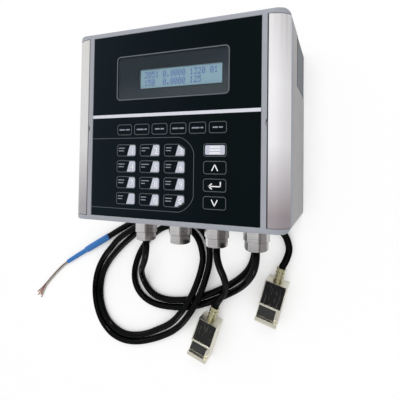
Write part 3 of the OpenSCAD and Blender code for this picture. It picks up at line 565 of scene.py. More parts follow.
@dataclass(frozen=True)
class Glossy(Finish):
    """Smooth plastic film with faint smears, and a painted light that may lighten it towards one
    side.
    """

    smoothest: float = 0.02
    specular: float = 0.25
    smear: float = 0.1
    painted_light_slope: Size = (0.0, 0.0)
    painted_light_from: Size = (0.0, 0.0)
    painted_light_colour: Colour | None = None
    smear_stretch: Point = (38, 9, 38)
    drifts: float = 7
    drift_tint: float = 0.3
    drift_share: float = 0.6
    peels: float = 420
    peel_depth: float = 0.004 * MM

    def build(self, shader: Shader) -> Material:
        """Smears change only the gloss, the tone drifts, and painted light lightens one side.

        Args:
            shader: Nodes of the new material.

        Returns:
            The material.
        """
        smear = shader.noise(1, detail=4, place=shader.stretched(self.smear_stretch),
                             roughness=0.65)
        drift = shader.noise(self.drifts, detail=2)
        peel = shader.noise(self.peels, detail=2)
        x, y, _ = shader.split(shader.place)
        # Painted light: the colour is lightened towards one side, standing in for a reflection or
        # fall of light.
        far = ((x - self.painted_light_from[0]) * self.painted_light_slope[0]
               + (y - self.painted_light_from[1]) * self.painted_light_slope[1]).within(0, 1)
        tone = shader.mix(self.colour, self.painted_light_colour or self.colour, far)
        return shader.finish(
            base_color=shader.mix(tone, darker(self.colour, self.drift_tint),
                                  drift * self.drift_share),
            roughness=(self.roughness + smear.power(2) * self.smear).within(self.smoothest, 1),
            specular_ior_level=self.specular,
            normal=shader.bump(peel, self.peel_depth, strength=0.5))


@dataclass(frozen=True)
class Ink(Finish):
    """Screen-printed ink, a little uneven where the mesh of the screen shows."""

    smoothest: float = 0.1
    speckles: float = 5200
    speckle_gloss: float = 0.2
    speckle_depth: float = 0.003 * MM
    patches: float = 160
    pale_tint: float = 0.04
    dark_tint: float = 0.16
    specular: float = 0.3

    def build(self, shader: Shader) -> Material:
        """A fine speckle in the colour and the gloss.

        Args:
            shader: Nodes of the new material.

        Returns:
            The material.
        """
        speckle = shader.noise(self.speckles, detail=2)
        patch = shader.noise(self.patches, detail=3)
        tone = (speckle * 0.5 + patch * 0.5).within(0, 1)
        return shader.finish(
            base_color=shader.mix(darker(self.colour, -self.pale_tint),
                                  darker(self.colour, self.dark_tint), tone),
            roughness=(self.roughness
                       + (speckle - 0.5) * self.speckle_gloss).within(self.smoothest, 1),
            specular_ior_level=self.specular,
            normal=shader.bump(speckle, self.speckle_depth))


@dataclass(frozen=True)
class Jacket(Finish):
    """Extruded jacket with a thin glossy coat and a dusty bloom."""

    smoothest: float = 0.04
    gloss: float = 0.3
    coat_roughness: float = 0.07
    bloom_gain: float = 1.2
    blooms: float = 48
    bloom_strength: float = 1.6
    bloom_gloss: float = 0.3
    peels: float = 700
    peel_gloss: float = 0.1
    peel_depth: float = 0.008 * MM

    def build(self, shader: Shader) -> Material:
        """Bloom in the colour and gloss, a slight orange peel, and the gloss in the coat.

        Args:
            shader: Nodes of the new material.

        Returns:
            The material.
        """
        bloom = shader.noise(self.blooms, detail=5, roughness=0.62)
        peel = shader.noise(self.peels, detail=3)
        dusty = (bloom - 0.5).within(0, 1) * self.bloom_strength
        return shader.finish(
            base_color=shader.mix(self.colour, darker(self.colour, -self.bloom_gain), dusty),
            roughness=(self.roughness + dusty * self.bloom_gloss
                       + (peel - 0.5) * self.peel_gloss).within(self.smoothest, 1),
            specular_ior_level=0.0,
            coat_weight=self.gloss,
            coat_roughness=self.coat_roughness,
            normal=shader.bump(peel, self.peel_depth, strength=0.5))


@dataclass(frozen=True)
class Clear(Finish):
    """Clear film or pane, with faint smears in its gloss."""

    smoothest: float = 0.02
    opacity: float = 0.14
    smears: float = 45
    smear_tint: float = 0.3
    smear_gloss: float = 0.12

    def build(self, shader: Shader) -> Material:
        """Mostly see-through, with its gloss left.

        Args:
            shader: Nodes of the new material.

        Returns:
            The material.
        """
        smear = shader.noise(self.smears, detail=4, roughness=0.7)
        return shader.finish(
            base_color=shader.mix(self.colour, darker(self.colour, self.smear_tint), smear),
            roughness=(self.roughness
                       + smear.power(2) * self.smear_gloss).within(self.smoothest, 1),
            alpha=self.opacity)


@dataclass(frozen=True)
class Lit(Finish):
    """The pale face of the display, faintly lit from behind."""

    glow: float = 0.12
    drifts: float = 16
    drift_share: float = 0.7
    dots: float = 2600
    dot_gloss: float = 0.1
    pale_tint: float = 0.06
    dark_tint: float = 0.14

    def build(self, shader: Shader) -> Material:
        """A slow change of tone, a fine raster of dots and a weak glow.

        Args:
            shader: Nodes of the new material.

        Returns:
            The material.
        """
        drift = shader.noise(self.drifts, detail=2)
        raster = shader.noise(self.dots, detail=1)
        tone = (drift * self.drift_share + raster * (1 - self.drift_share)).within(0, 1)
        colour = shader.mix(darker(self.colour, -self.pale_tint),
                            darker(self.colour, self.dark_tint), tone)
        return shader.finish(
            base_color=colour,
            roughness=(self.roughness
                       + (raster - 0.5) * self.dot_gloss).within(self.smoothest, 1),
            emission_color=colour,
            emission_strength=self.glow)


@dataclass(frozen=True)
class Streaked(Finish):
    """Black label plate whose faint pale streaks run along a turned sensor."""

    turn: float = 0.0
    streak: Colour = shade(120, 118, 104)
    streak_stretch: Point = (900, 60, 900)
    streak_from: float = 0.57
    streak_slope: float = 9
    streak_share: float = 0.55
    streak_gloss: float = 0.3
    streak_depth: float = 0.01 * MM
    worn_spots: float = 160
    wear_from: float = 0.38
    wear_slope: float = 4
    wear_gloss: float = 0.1
    specular: float = 0.3

    def build(self, shader: Shader) -> Material:
        """Broken thin lines along the sensor, worn unevenly.

        Args:
            shader: Nodes of the new material.

        Returns:
            The material.
        """
        along = shader.stretched(self.streak_stretch, self.turn)
        lines = shader.noise(1, detail=3, place=along, roughness=0.6)
        wear = shader.noise(self.worn_spots, detail=3)
        mark = (((lines - self.streak_from) * self.streak_slope).within(0, 1)
                * ((wear - self.wear_from) * self.wear_slope).within(0, 1))
        return shader.finish(
            base_color=shader.mix(self.colour, self.streak, mark * self.streak_share),
            roughness=(self.roughness + mark * self.streak_gloss
                       + (wear - 0.5) * self.wear_gloss).within(self.smoothest, 1),
            specular_ior_level=self.specular,
            normal=shader.bump(mark, self.streak_depth))


@dataclass(frozen=True)
class Masked(Finish):
    """Circuit board: solder mask over darker tracks, with glass weave below."""

    smoothest: float = 0.1
    track_stretch: Point = (300, 30, 300)
    track_from: float = 0.52
    track_share: float = 0.6
    weaves: float = 1800
    weave_gloss: float = 0.15
    weave_depth: float = 0.01 * MM

    def build(self, shader: Shader) -> Material:
        """Tracks as broad lines in the colour, weave in the relief.

        Args:
            shader: Nodes of the new material.

        Returns:
            The material.
        """
        lines = shader.noise(1, detail=1, place=shader.stretched(self.track_stretch))
        tracks = (lines > self.track_from) * self.track_share
        weave = shader.noise(self.weaves, detail=1)
        return shader.finish(
            base_color=shader.mix(self.colour, darker(self.colour, 0.5), tracks),
            roughness=(self.roughness
                       + (weave - 0.5) * self.weave_gloss).within(self.smoothest, 1),
            normal=shader.bump(weave, self.weave_depth))


class Slot(Enum):
    """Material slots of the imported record."""

    HOUSING = "housing"
    COVER = "cover"
    GASKET = "gasket"
    PANEL = "panel"
    DIVIDER = "divider"
    WINDOW = "window"
    LCD_BEZEL = "lcd_bezel"
    LCD_GLASS = "lcd_glass"
    GLAND = "gland_nickel"
    CABLE = "cable_jacket"
    SLEEVE = "sleeve_blue"
    WIRE = "bare_wire"
    SENSOR = "sensor_steel"
    LABEL = "sensor_label"
    STUB = "stub_nickel"
    FLAP = "flap_aluminium"
    KEY = "key_cap"


HOUSING = Moulded("housing_plastic", shade(177, 175, 176), 0.55, specular=0.2)
COVER = Moulded("cover_plastic", shade(163, 166, 174), 0.5, grain=0.3 * MM, depth=0.012 * MM,
                specular=0.2)
SIDE_PLATE = Moulded("side_plate_plastic", shade(122, 126, 131), 0.6, specular=0.15)
GASKET = Moulded("gasket_rubber", shade(30, 31, 33), 0.75, grain=0.8 * MM)
# Painted reflection: the panel film and the keys lighten towards the left.
PANEL = Glossy("panel_film", shade(3, 14, 17), 0.22, specular=0.05, painted_light_slope=(-7, 0),
               painted_light_from=(0.05, 0), painted_light_colour=shade(18, 29, 38))
KEY = Glossy("key_film", shade(3, 13, 16), 0.24, specular=0.05, painted_light_slope=(-7, 0),
             painted_light_from=(0.05, 0), painted_light_colour=shade(16, 26, 34))
DIVIDER = Brushed("divider_aluminium", shade(226, 228, 238), 0.42, along=5200, across=14,
                  low_end_painted_reflection=shade(226, 228, 238), metallic=0.4)
# Painted reflections: the right flap darkens towards its top and takes a darker, pinker tone
# towards its lower end.
FLAP = Brushed("flap_aluminium", shade(240, 238, 241), 0.6, metallic=0.2, contrast=0.06,
               high_end_painted_reflection=shade(164, 161, 157), low_end_painted_reflection=shade(162, 153, 157))
# Painted shade: the left flap is a darker copy of the flap aluminium, for the side that gets less
# light, with its own painted reflections at the ends.
SHADED_LEFT_FLAP = Brushed("left_flap_shaded_aluminium", shade(214, 213, 213), 0.6, metallic=0.2,
                    contrast=0.06, high_end_painted_reflection=shade(206, 203, 196),
                    low_end_painted_reflection=shade(166, 162, 166))
WINDOW = Clear("window_pane", shade(60, 70, 78), 0.08, opacity=0.06)
# Painted light: the window mask lightens towards the lower right.
MASK = Glossy("window_mask", shade(42, 51, 58), 0.4, specular=0.05, painted_light_slope=(5, -30),
              painted_light_from=(-0.03, 0.05), painted_light_colour=shade(80, 88, 92))
LCD_FACE = Lit("display_face", shade(136, 168, 184), 0.35)
LCD_INK = Ink("display_dots", shade(76, 96, 172), 0.4)
LCD_BEZEL = Glossy("display_bezel", shade(50, 58, 64), 0.4, specular=0.2)
GREY_INK = Ink("grey_ink", shade(98, 106, 112), 0.35)
KEY_INK = Ink("key_line_ink", shade(86, 93, 98), 0.35)
PALE_INK = Ink("pale_ink", shade(197, 200, 214), 0.4)
WHITE_INK = Ink("white_ink", shade(246, 247, 250), 0.4)
FADED_INK = Ink("faded_ink", shade(142, 148, 158), 0.4)
# The gland nickel paints a dark reflection as shade on one flat of each gland.
NICKEL = Plated("gland_nickel", shade(216, 214, 214), 0.15, tarnish=0.08, turning=9,
                painted_shade_flat=shade(128, 124, 123))
STEEL = Plated("sensor_steel", shade(226, 223, 208), 0.34, tarnish=0.06)
SCREW = Plated("screw_steel", shade(200, 200, 202), 0.3)
BRASS = Plated("spacer_brass", shade(206, 178, 104), 0.3)
STUB = Plated("stub_nickel", shade(208, 202, 166), 0.28, tarnish=0.16)
JACKET = Jacket("cable_jacket", shade(5, 6, 6), 0.5, gloss=0.17, bloom_gain=0.5)
SHRINK = Jacket("sleeve_shrink", shade(56, 116, 184), 0.5, gloss=0.4, bloom_gain=0.2)
SEAL = Moulded("seal_rubber", shade(24, 24, 25), 0.6, grain=0.6 * MM)
WEDGE = Moulded("wedge_plastic", shade(40, 42, 42), 0.42, grain=0.25 * MM)
BOARD = Masked("board_mask", shade(30, 96, 58), 0.4)
BLOCK = Moulded("block_plastic", shade(34, 35, 37), 0.45)
TERMINAL = Moulded("terminal_plastic", shade(48, 132, 74), 0.45)
COPPER = Plated("wire_copper", shade(188, 142, 106), 0.34)
LABELS = tuple(Streaked(f"label_streaks_{i}", shade(16, 16, 17), 0.22, turn=math.radians(turn))
               for i, turn in ((1, -18.4), (2, -15.1)))


@contextmanager
def editing(piece: Piece) -> Iterator[None]:
    """Opens one piece in edit mode with all of it selected, and closes it afterwards.

    Args:
        piece: The piece to edit.

    Yields:
        Nothing, while edit mode is open.
    """
    pick(piece)
    bpy.ops.object.mode_set(mode="EDIT")
    bpy.ops.mesh.select_all(action="SELECT")
    try:
        yield
    finally:
        bpy.ops.object.mode_set(mode="OBJECT")


def pick(*pieces: Piece) -> None:
    """Selects these pieces and nothing else; the first becomes the active one.

    Args:
        pieces: The pieces.
    """
    bpy.ops.object.select_all(action="DESELECT")
    for piece in pieces:
        piece.select_set(True)
    bpy.context.view_layer.objects.active = pieces[0]


def settle(piece: Piece) -> Piece:
    """Puts the place, turn and size of a piece into its mesh.

    Args:
        piece: The piece.

    Returns:
        The piece.
    """
    pick(piece)
    bpy.ops.object.transform_apply(location=True, rotation=True, scale=True)
    return piece


def linked(name: str, data: bpy.types.ID) -> Piece:
    """Makes an object of some data and puts it in the scene.

    Args:
        name: Name of the object.
        data: Its mesh, curve, camera or light.

    Returns:
        The object.
    """
    piece = bpy.data.objects.new(name, data)
    bpy.context.scene.collection.objects.link(piece)
    return piece


def as_mesh(*pieces: Piece) -> Piece:
    """Turns curves or text into meshes.

    Args:
        pieces: The curves or text.

    Returns:
        The first of them.
    """
    pick(*pieces)
    bpy.ops.object.convert(target="MESH")
    return bpy.context.object


def flat_square(name: str, side: float, place: Point) -> Piece:
    """Adds a flat square by its middle.

    Args:
        name: Name of the square.
        side: Length of a side.
        place: Its middle.

    Returns:
        The square.
    """
    bpy.ops.object.select_all(action="DESELECT")
    bpy.ops.mesh.primitive_plane_add(size=side, location=place)
    piece = bpy.context.object
    piece.name = name
    return piece


def inset(size: Size, margin: float) -> Size:
    """Returns a size less a margin on every side."""
    return (size[0] - 2 * margin, size[1] - 2 * margin)


def dress(piece: Piece, *finishes: Finish) -> Piece:
    """Gives a piece its materials in place of any that it has.

    Args:
        piece: The piece.
        finishes: A finish for each of its material slots.

    Returns:
        The piece.
    """
    piece.data.materials.clear()
    for finish in finishes:
        piece.data.materials.append(finish.material())
    return piece


def seat(piece: Piece, body: str, slot: Slot, *nodes: str) -> Piece:
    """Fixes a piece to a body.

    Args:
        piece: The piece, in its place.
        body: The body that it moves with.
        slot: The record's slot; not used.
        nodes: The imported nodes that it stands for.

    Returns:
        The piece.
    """
    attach(piece, body)
    if nodes:
        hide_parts(*nodes)
    log.info("%s rides on %s", piece.name, body)
    return piece


def with_modifier(piece: Piece, kind: str, **settings: object) -> Piece:
    """Adds a modifier to a piece and applies it.

    Args:
        piece: The piece.
        kind: Type of the modifier.
        settings: What is set on it.

    Returns:
        The piece.
    """
    pick(piece)
    modifier = piece.modifiers.new(kind.title(), kind)
    for key, setting in settings.items():
        setattr(modifier, key, setting)
    bpy.ops.object.modifier_apply(modifier=modifier.name)
    return piece


def eased(piece: Piece, width: float) -> Piece:
    """Rounds the sharp edges of a piece and smooths its shading.

    Args:
        piece: The piece.
        width: Width of the rounding.

    Returns:
        The piece.
    """
    pick(piece)
    bpy.ops.object.shade_smooth()
    return with_modifier(piece, "BEVEL", width=width, segments=EDGE_STEPS, limit_method="ANGLE",
                         angle_limit=EDGE_ANGLE, use_clamp_overlap=False,
                         harden_normals=True, miter_outer="MITER_ARC")


def plate(name: str, size: Size, place: Point, thick: float, corner: float = 0.0,
          line: float = 0.0, roundness: float = 0.5) -> Piece:
    """Makes a flat plate that stands on its place, or only the line along its edge.

    Args:
        name: Name of the piece.
        size: Width and height outside.
        place: Middle of its underside.
        thick: Thickness.
        corner: How far each corner reaches along the sides.
        line: Width of the line, or 0 for a whole plate.
        roundness: Form of the corners, from 0.25 for a straight cut to 0.5 for an arc.

    Returns:
        The plate or the line.
    """
    piece = flat_square(name, 1, place)
    piece.scale = (*size, 1)
    settle(piece)
    with editing(piece):
        if corner:
            bpy.ops.mesh.bevel(offset=corner, segments=CORNER_STEPS, affect="VERTICES",
                               profile=roundness)
            bpy.ops.mesh.select_all(action="SELECT")
        if line:
            bpy.ops.mesh.inset(thickness=line)
            bpy.ops.mesh.delete(type="FACE")
            bpy.ops.mesh.select_all(action="SELECT")
        bpy.ops.mesh.extrude_region_move(TRANSFORM_OT_translate={"value": (0, 0, thick)})
        bpy.ops.mesh.select_all(action="SELECT")
        bpy.ops.mesh.normals_make_consistent(inside=False)
    return piece


def cut_away(piece: Piece, point: Point, normal: Point) -> None:
    """Cuts off what lies on the side of a plane that its normal points to.

    Args:
        piece: The piece.
        point: A point of the plane.
        normal: Direction of what is cut off.
    """
    with editing(piece):
        bpy.ops.mesh.bisect(plane_co=point, plane_no=Vector(normal).normalized(),
                            use_fill=True, clear_outer=True, threshold=CUT_WELD)


def hollowed(piece: Piece, cutter: Piece) -> Piece:
    """Cuts the shape of one piece out of another, and deletes the cutter.

    Args:
        piece: The piece that stays.
        cutter: The shape that comes out.

    Returns:
        The piece that stays.
    """
    with_modifier(piece, "BOOLEAN", operation="DIFFERENCE", object=cutter, solver="EXACT")
    bpy.data.objects.remove(cutter)
    return piece


def joined(name: str, *pieces: Piece) -> Piece:
    """Joins pieces into one object that keeps all their materials.

    Args:
        name: Name of the whole.
        pieces: Its parts; the first takes in the rest.

    Returns:
        The whole.
    """
    pick(*pieces)
    bpy.ops.object.join()
    pieces[0].name = name
    return pieces[0]


def smooth_line(points: Sequence[Point], steps: int) -> list[Vector]:
    """Runs one smooth curve through a list of points.

    Args:
        points: The points, in order.
        steps: Short legs between two neighbouring points.

    Returns:
        Points close together along the curve, from the first point to the last.
    """
    known = [Vector(p) for p in points]
    known = [2 * known[0] - known[1], *known, 2 * known[-1] - known[-2]]
    line = []
    for a, b, c, d in zip(known, known[1:], known[2:], known[3:]):
        for k in range(steps):
            t = k / steps
            line.append(0.5 * (2 * b + (c - a) * t + (2 * a - 5 * b + 4 * c - d) * t * t
                               + (3 * b - a - 3 * c + d) * t ** 3))
    line.append(known[-2])
    return line


def tube(name: str, line: Sequence[Vector], radii: Sequence[float]) -> Piece:
    """Makes a round closed tube along a line as a curve of one open spline.

    Args:
        name: Name of the piece.
        line: Points along its middle.
        radii: Radius at each point.

    Returns:
        The curve.
    """
    curve = bpy.data.curves.new(name, "CURVE")
    curve.dimensions = "3D"
    curve.bevel_depth = 1.0
    curve.bevel_resolution = TUBE_STEPS
    curve.use_fill_caps = True
    spline = curve.splines.new("POLY")
    spline.points.add(len(line) - 1)
    for point, place, radius in zip(spline.points, line, radii):
        point.co = (*place, 1)
        point.radius = radius
    spline.use_smooth = True
    return linked(name, curve)


def line_length(line: Sequence[Vector]) -> float:
    """Returns the length along a line of points."""
    return sum((b - a).length for a, b in zip(line, line[1:]))


@dataclass
class Studio:
    """Camera, floor, lamps and world."""

    eye: Point = (0.14564, -0.03867, 0.42007)
    turn: float = 0.374
    nod: float = -0.027
    lean: float = 0.013
    frame_px: float = 400
    focal_px: float = 348.104
    middle_y_px: float = 156.245
    sensor_mm: float = 36
    nearest_seen: float = 10 * MM
    floor_size: float = 16
    floor_gap: float = 0.02 * MM
    floor_colour: Colour = (0.86, 0.86, 0.86, 1)
    white: Colour = (1, 1, 1, 1)
    floor_roughness: float = 0.95
    fibres: float = 900
    fibre_tint: float = 0.02
    floor_white_share: float = 0.88
    contact_reach: float = 0.03
    contact_power: float = 1.2
    contact_samples: int = 12
    overhead: float = 1.08
    horizon: float = 1.2
    right_from: float = 0.15
    right_reach: float = 0.8
    right_dimming: float = 0.2
    front_dimming: float = 0.8
    front_band: Size = (-0.42, -0.2)
    band_slope: float = 14
    front_low: float = 0.1
    raised_slope: float = 4
    card_from: float = 0.62
    card_slope: float = 8
    card_dimming: float = 0.9
    low_white_to: float = 0.04
    low_white_slope: float = 25
    lamps: tuple[tuple[str, Point, float, float], ...] = (
        ("key", (0.4, 1.0, 1.1), 0.4, 8),
        ("fill", (-1.3, 0.5, 0.55), 0.5, 1),
        ("front", (0.1, -1.5, 0.5), 0.4, 3),
    )

    def build(self) -> None:
        """Sets up everything that isn't part of the meter."""
        self.camera()
        self.floor()
        self.world()
        for name, place, size, power in self.lamps:
            self.lamp(name, place, size, power)
        bpy.context.scene.view_settings.view_transform = "Standard"

    def camera(self) -> None:
        """Stands the camera at the place that was fitted to the photograph."""
        data = bpy.data.cameras.new("camera")
        data.sensor_width = self.sensor_mm
        data.lens = self.focal_px / self.frame_px * self.sensor_mm
        data.shift_y = -(self.frame_px / 2 - self.middle_y_px) / self.frame_px
        data.clip_start = self.nearest_seen
        flip = Matrix.Diagonal((1, -1, -1))
        turned = (Matrix.Rotation(self.lean, 3, "Z") @ Matrix.Rotation(self.nod, 3, "X")
                  @ Matrix.Rotation(self.turn, 3, "Y"))
        camera = linked("camera", data)
        camera.matrix_world = (Matrix.Translation(self.eye)
                               @ (flip @ turned @ flip).transposed().to_4x4())
        bpy.context.scene.camera = camera

    def floor(self) -> None:
        """Lays a pale floor that shows as white, with the meter's shadow on it."""
        floor = flat_square("floor", self.floor_size, (0, 0, -self.floor_gap))
        shader = Shader("floor_paper")
        seen = self.seen_directly(shader)
        fibre = shader.noise(self.fibres, detail=2)
        plain = shader.mix(self.floor_colour, darker(self.floor_colour, self.fibre_tint), fibre)
        shader.finish(base_color=shader.mix(plain, self.white, seen),
                      roughness=self.floor_roughness, specular_ior_level=0.0)
        glow = shader.add("ShaderNodeEmission")
        openness = shader.add("ShaderNodeAmbientOcclusion", {"samples": self.contact_samples},
                              {"Distance": self.contact_reach})
        open_sky = Num(shader, openness.outputs["AO"]).power(self.contact_power)
        mixed = shader.add("ShaderNodeMixShader", None,
                           {0: seen * open_sky * self.floor_white_share,
                            1: shader.surface.outputs[0], 2: glow.outputs[0]})
        shader.feed(shader.output.inputs[0], mixed.outputs[0])
        floor.data.materials.append(shader.material)

    def seen_directly(self, nodes: Nodes) -> Num:
        """Gives 1 where the camera, a mirror or glass shows a surface, and 0 for its light.

        Args:
            nodes: Nodes that use it.

        Returns:
            1 or 0.
        """
        path = nodes.add("ShaderNodeLightPath")
        return (Num(nodes, path.outputs["Is Camera Ray"])
                + Num(nodes, path.outputs["Is Glossy Ray"])
                + Num(nodes, path.outputs["Is Transmission Ray"])).within(0, 1)

    def world(self) -> None:
        """Soft light with a dark card right and front, and a white backdrop."""
        world = bpy.data.worlds.new("studio")
        bpy.context.scene.world = world
        world.use_nodes = True
        nodes = Nodes(world.node_tree)
        x, y, z = nodes.split(nodes.add("ShaderNodeTexCoord").outputs["Generated"])
        level = self.horizon - z.within(0, 1).power(2) * (self.horizon - self.overhead)
        level = level * (1 - (x - self.right_from).within(0, self.right_reach)
                         * (self.right_dimming / self.right_reach))
        card = ((x - self.card_from) * self.card_slope).within(0, 1) * self.card_dimming
        band = (((self.front_band[1] - y) * self.band_slope).within(0, 1)
                * ((y - self.front_band[0]) * self.band_slope).within(0, 1))
        raised = ((z - self.front_low) * self.raised_slope).within(0, 1)
        level = level * (1 - card) * (1 - band * raised * self.front_dimming)
        camera = Num(nodes, nodes.add("ShaderNodeLightPath").outputs["Is Camera Ray"])
        low_white = (self.seen_directly(nodes)
                     * ((self.low_white_to - z) * self.low_white_slope).within(0, 1))
        backdrop = (low_white + camera).within(0, 1)
        light = nodes.add("ShaderNodeBackground", None, {1: level + backdrop * (1 - level)})
        nodes.add("ShaderNodeOutputWorld", None, {0: light.outputs[0]})

    def lamp(self, name: str, place: Point, size: float, power: float) -> None:
        """Hangs one soft square lamp that looks at the meter.

        Args:
            name: Name of the lamp.
            place: Where it hangs.
            size: Side of its square.
            power: Its power in watts.
        """
        data = bpy.data.lights.new(name, "AREA")
        data.size = size
        data.energy = power
        lamp = linked(name, data)
        lamp.location = place
        lamp.rotation_euler = (-Vector(place)).to_track_quat("-Z", "Y").to_euler()


@dataclass
class Cables:
    """The three cables, the blue sleeve and the bare wires."""

    diameter: float = 8 * MM
    steps: int = 6
    signal_length: float = 0.524
    sensor_1_length: float = 0.1
    sensor_2_length: float = 1.580
    sleeve_radii_mm: tuple[float, ...] = (4.6, 4.6, 4.6, 3.5, 3.3, 3)
    wire_diameter: float = 1.6 * MM
    wire_colours: tuple[Colour, ...] = (shade(120, 104, 94), shade(172, 166, 158),
                                        shade(166, 62, 54), shade(158, 146, 128))
    bare_from: float = 0.86
    strands: int = 5
    strand_twist: float = 0.7
    strand_aside: float = 0.36
    strand_radius: float = 0.22

    def build(self) -> None:
        """Makes the sleeve, the signal cable and its cores."""
        sleeve = self.sleeve()
        self.cable("signal_lead", SIGNAL_ROUTE, "signal_cable")
        self.cores()

    def build_sensor_leads(self, first: Sequence[Piece], second: Sequence[Piece]) -> None:
        """Makes the two sensor cables.

        Args:
            first: Pieces at the end of the first cable; not used.
            second: Pieces at the end of the second; not used.
        """
        self.cable("sensor_lead_1", SENSOR_1_ROUTE,
                   "sensor_cable_1")
        self.cable("sensor_lead_2", SENSOR_2_ROUTE,
                   "sensor_cable_2")

    def cable(self, name: str, route: Route, node: str) -> None:
        """Args:
            name: Name of the cable.
            route: Points along its middle.
            node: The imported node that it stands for.
        """
        line = smooth_line(route, self.steps)
        piece = dress(tube(name, line, [self.diameter / 2] * len(line)), JACKET)
        seat(piece, "root", Slot.CABLE, node)
        log.info("%s is %.3f m long", name, line_length(line))

    def sleeve(self) -> Piece:
        """Shrinks the blue sleeve over the cable's end and the wires.

        Returns:
            The sleeve.
        """
        line = smooth_line(SLEEVE_ROUTE, self.steps)
        radii = smooth_line([(0, 0, radius * MM) for radius in self.sleeve_radii_mm], self.steps)
        piece = as_mesh(tube("blue_sleeve", line, [radius.z for radius in radii]))
        return seat(dress(piece, SHRINK), "root", Slot.SLEEVE, "signal_sleeve")

    def cores(self) -> None:
        """Fans the four cores out of the sleeve, each with a bare copper tip."""
        for i, (route, colour) in enumerate(zip(WIRE_ROUTES, self.wire_colours), 1):
            line = smooth_line(route, self.steps)
            piece = tube(f"core_{i}", line, [self.wire_diameter / 2] * len(line))
            dress(piece, Moulded(f"core_plastic_{i}", colour))
            seat(piece, "root", Slot.WIRE, "signal_wires")
            line_length(line)
            self.tip(i, line)

    def tip(self, number: int, line: Sequence[Vector]) -> Piece:
        """Twists the bare strands at the end of one core.

        Args:
            number: Number of the core.
            line: Points along the core.

        Returns:
            The tip.
        """
        bare = line[int(len(line) * self.bare_from):]
        strands = []
        for k in range(self.strands):
            wound = []
            for j, place in enumerate(bare):
                turn = j * self.strand_twist + k * math.tau / self.strands
                ahead = (bare[min(j + 1, len(bare) - 1)] - bare[max(j - 1, 0)]).normalized()
                side = ahead.cross(Vector((0, 0, 1))).normalized()
                lift = side.cross(ahead)
                offset = side * math.cos(turn) + lift * math.sin(turn)
                wound.append(place + offset * self.wire_diameter * self.strand_aside)
            strands.append(tube(f"strand_{number}_{k}", wound,
                                [self.wire_diameter * self.strand_radius] * len(wound)))
        as_mesh(*strands)
        tip = dress(joined(f"copper_tip_{number}", *strands), COPPER)
        return seat(tip, "root", Slot.WIRE)


@dataclass
class Assembly:
    """Some of the meter's pieces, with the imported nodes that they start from."""

    nodes: Mapping[str, Piece]

    def clad(self, node: str, name: str, finish: Finish, slot: Slot, edge: float,
             body: str = "root", merged: bool = True) -> Piece:
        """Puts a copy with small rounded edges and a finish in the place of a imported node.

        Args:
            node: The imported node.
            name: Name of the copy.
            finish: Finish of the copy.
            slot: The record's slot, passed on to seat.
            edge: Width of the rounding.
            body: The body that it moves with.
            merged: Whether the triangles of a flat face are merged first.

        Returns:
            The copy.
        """
        piece = linked(name, self.nodes[node].data.copy())
        pick(piece)
        bpy.ops.mesh.customdata_custom_splitnormals_clear()
        with editing(piece):
            bpy.ops.mesh.remove_doubles(threshold=WELD)
            if merged:
                bpy.ops.mesh.dissolve_limited(angle_limit=FLAT_ANGLE)
        return seat(dress(eased(piece, edge), finish), body, slot, node)

    def dress_nodes(self, **finishes: Finish) -> None:
        """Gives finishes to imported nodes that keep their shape."""
        for node, finish in finishes.items():
            dress(self.nodes[node], finish)


@dataclass
class Housing(Assembly):
    """Rear case, front cover, gasket, screws and the plates in the side walls."""

    case_edge: float = 0.5 * MM
    cover_edge: float = 0.35 * MM
    recess_low_y: float = 40 * MM
    recess_top_z: float = 76 * MM
    recess_top_gap: float = 5 * MM
    recess_depth: float = 1.5 * MM
    shadow_strip_width: float = 7 * MM
    strip_gap: float = 0.15 * MM
    shadow_strip_line: float = 1.2 * MM
    plate_sink: float = 0.2 * MM
    plate_edge: float = 0.3 * MM

    def build(self) -> None:
        """Dresses the shells and what closes them."""
        self.clad("rear_case", "rear_shell", HOUSING, Slot.HOUSING, self.case_edge)
        self.clad("front_cover", "cover_shell", COVER, Slot.COVER, self.cover_edge)
        self.dress_nodes(cover_gasket=GASKET, cover_screws=SCREW, flap_hinge_pins=SCREW)
        for side, name in ((-1, "left"), (1, "right")):
            self.side_plate(side, name)

    def side_plate(self, side: int, name: str) -> None:
        """Fills the hollow of one side wall with a dark plate, and a dark strip along its edges
        as painted shade for the gap round it.

        Args:
            side: 1 on the right, -1 on the left.
            name: The side's name.
        """
        low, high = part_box("rear_case")
        wall = high.x if side > 0 else low.x
        ends = (self.recess_low_y, high.y - self.recess_top_gap)
        top = self.recess_top_z - self.shadow_strip_width
        # Painted shade: a dark rubber-toned strip along the plate's top and low end stands in for
        # the shadowed gap there.
        frame = self.slab(f"{name}_side_shadow_strip", wall, side, (ends[0] + self.strip_gap, ends[1]),
                          (self.strip_gap, self.recess_top_z - self.strip_gap))
        inner = self.slab("inner", wall + side * MM, side,
                          (ends[0] + self.shadow_strip_line, ends[1] + 2 * MM), (-MM, top))
        shadow_strip = eased(hollowed(frame, inner), self.strip_gap)
        seat(dress(shadow_strip, GASKET), "root", Slot.GASKET)
        pad = self.slab(f"{name}_side_plate", wall - side * self.plate_sink, side,
                        (ends[0] + self.shadow_strip_line + self.strip_gap, ends[1]),
                        (self.strip_gap, top - self.strip_gap))
        seat(dress(eased(pad, self.plate_edge), SIDE_PLATE), "root", Slot.HOUSING)

    def slab(self, name: str, wall: float, side: int, y: Size, z: Size) -> Piece:
        """Makes an upright slab that lies against the floor of the hollow.

        Args:
            name: Name of the slab.
            wall: Where the wall's face is along X.
            side: 1 on the right, -1 on the left.
            y: Its ends along Y.
            z: Its ends along Z.

        Returns:
            The slab.
        """
        back = (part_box("rear_case")[1 if side > 0 else 0].x
                - side * (self.recess_depth - self.strip_gap))
        width = abs(wall - side * self.strip_gap - back)
        return plate(name, (width, y[1] - y[0]),
                     (back + side * width / 2, (y[0] + y[1]) / 2, z[0]), z[1] - z[0])


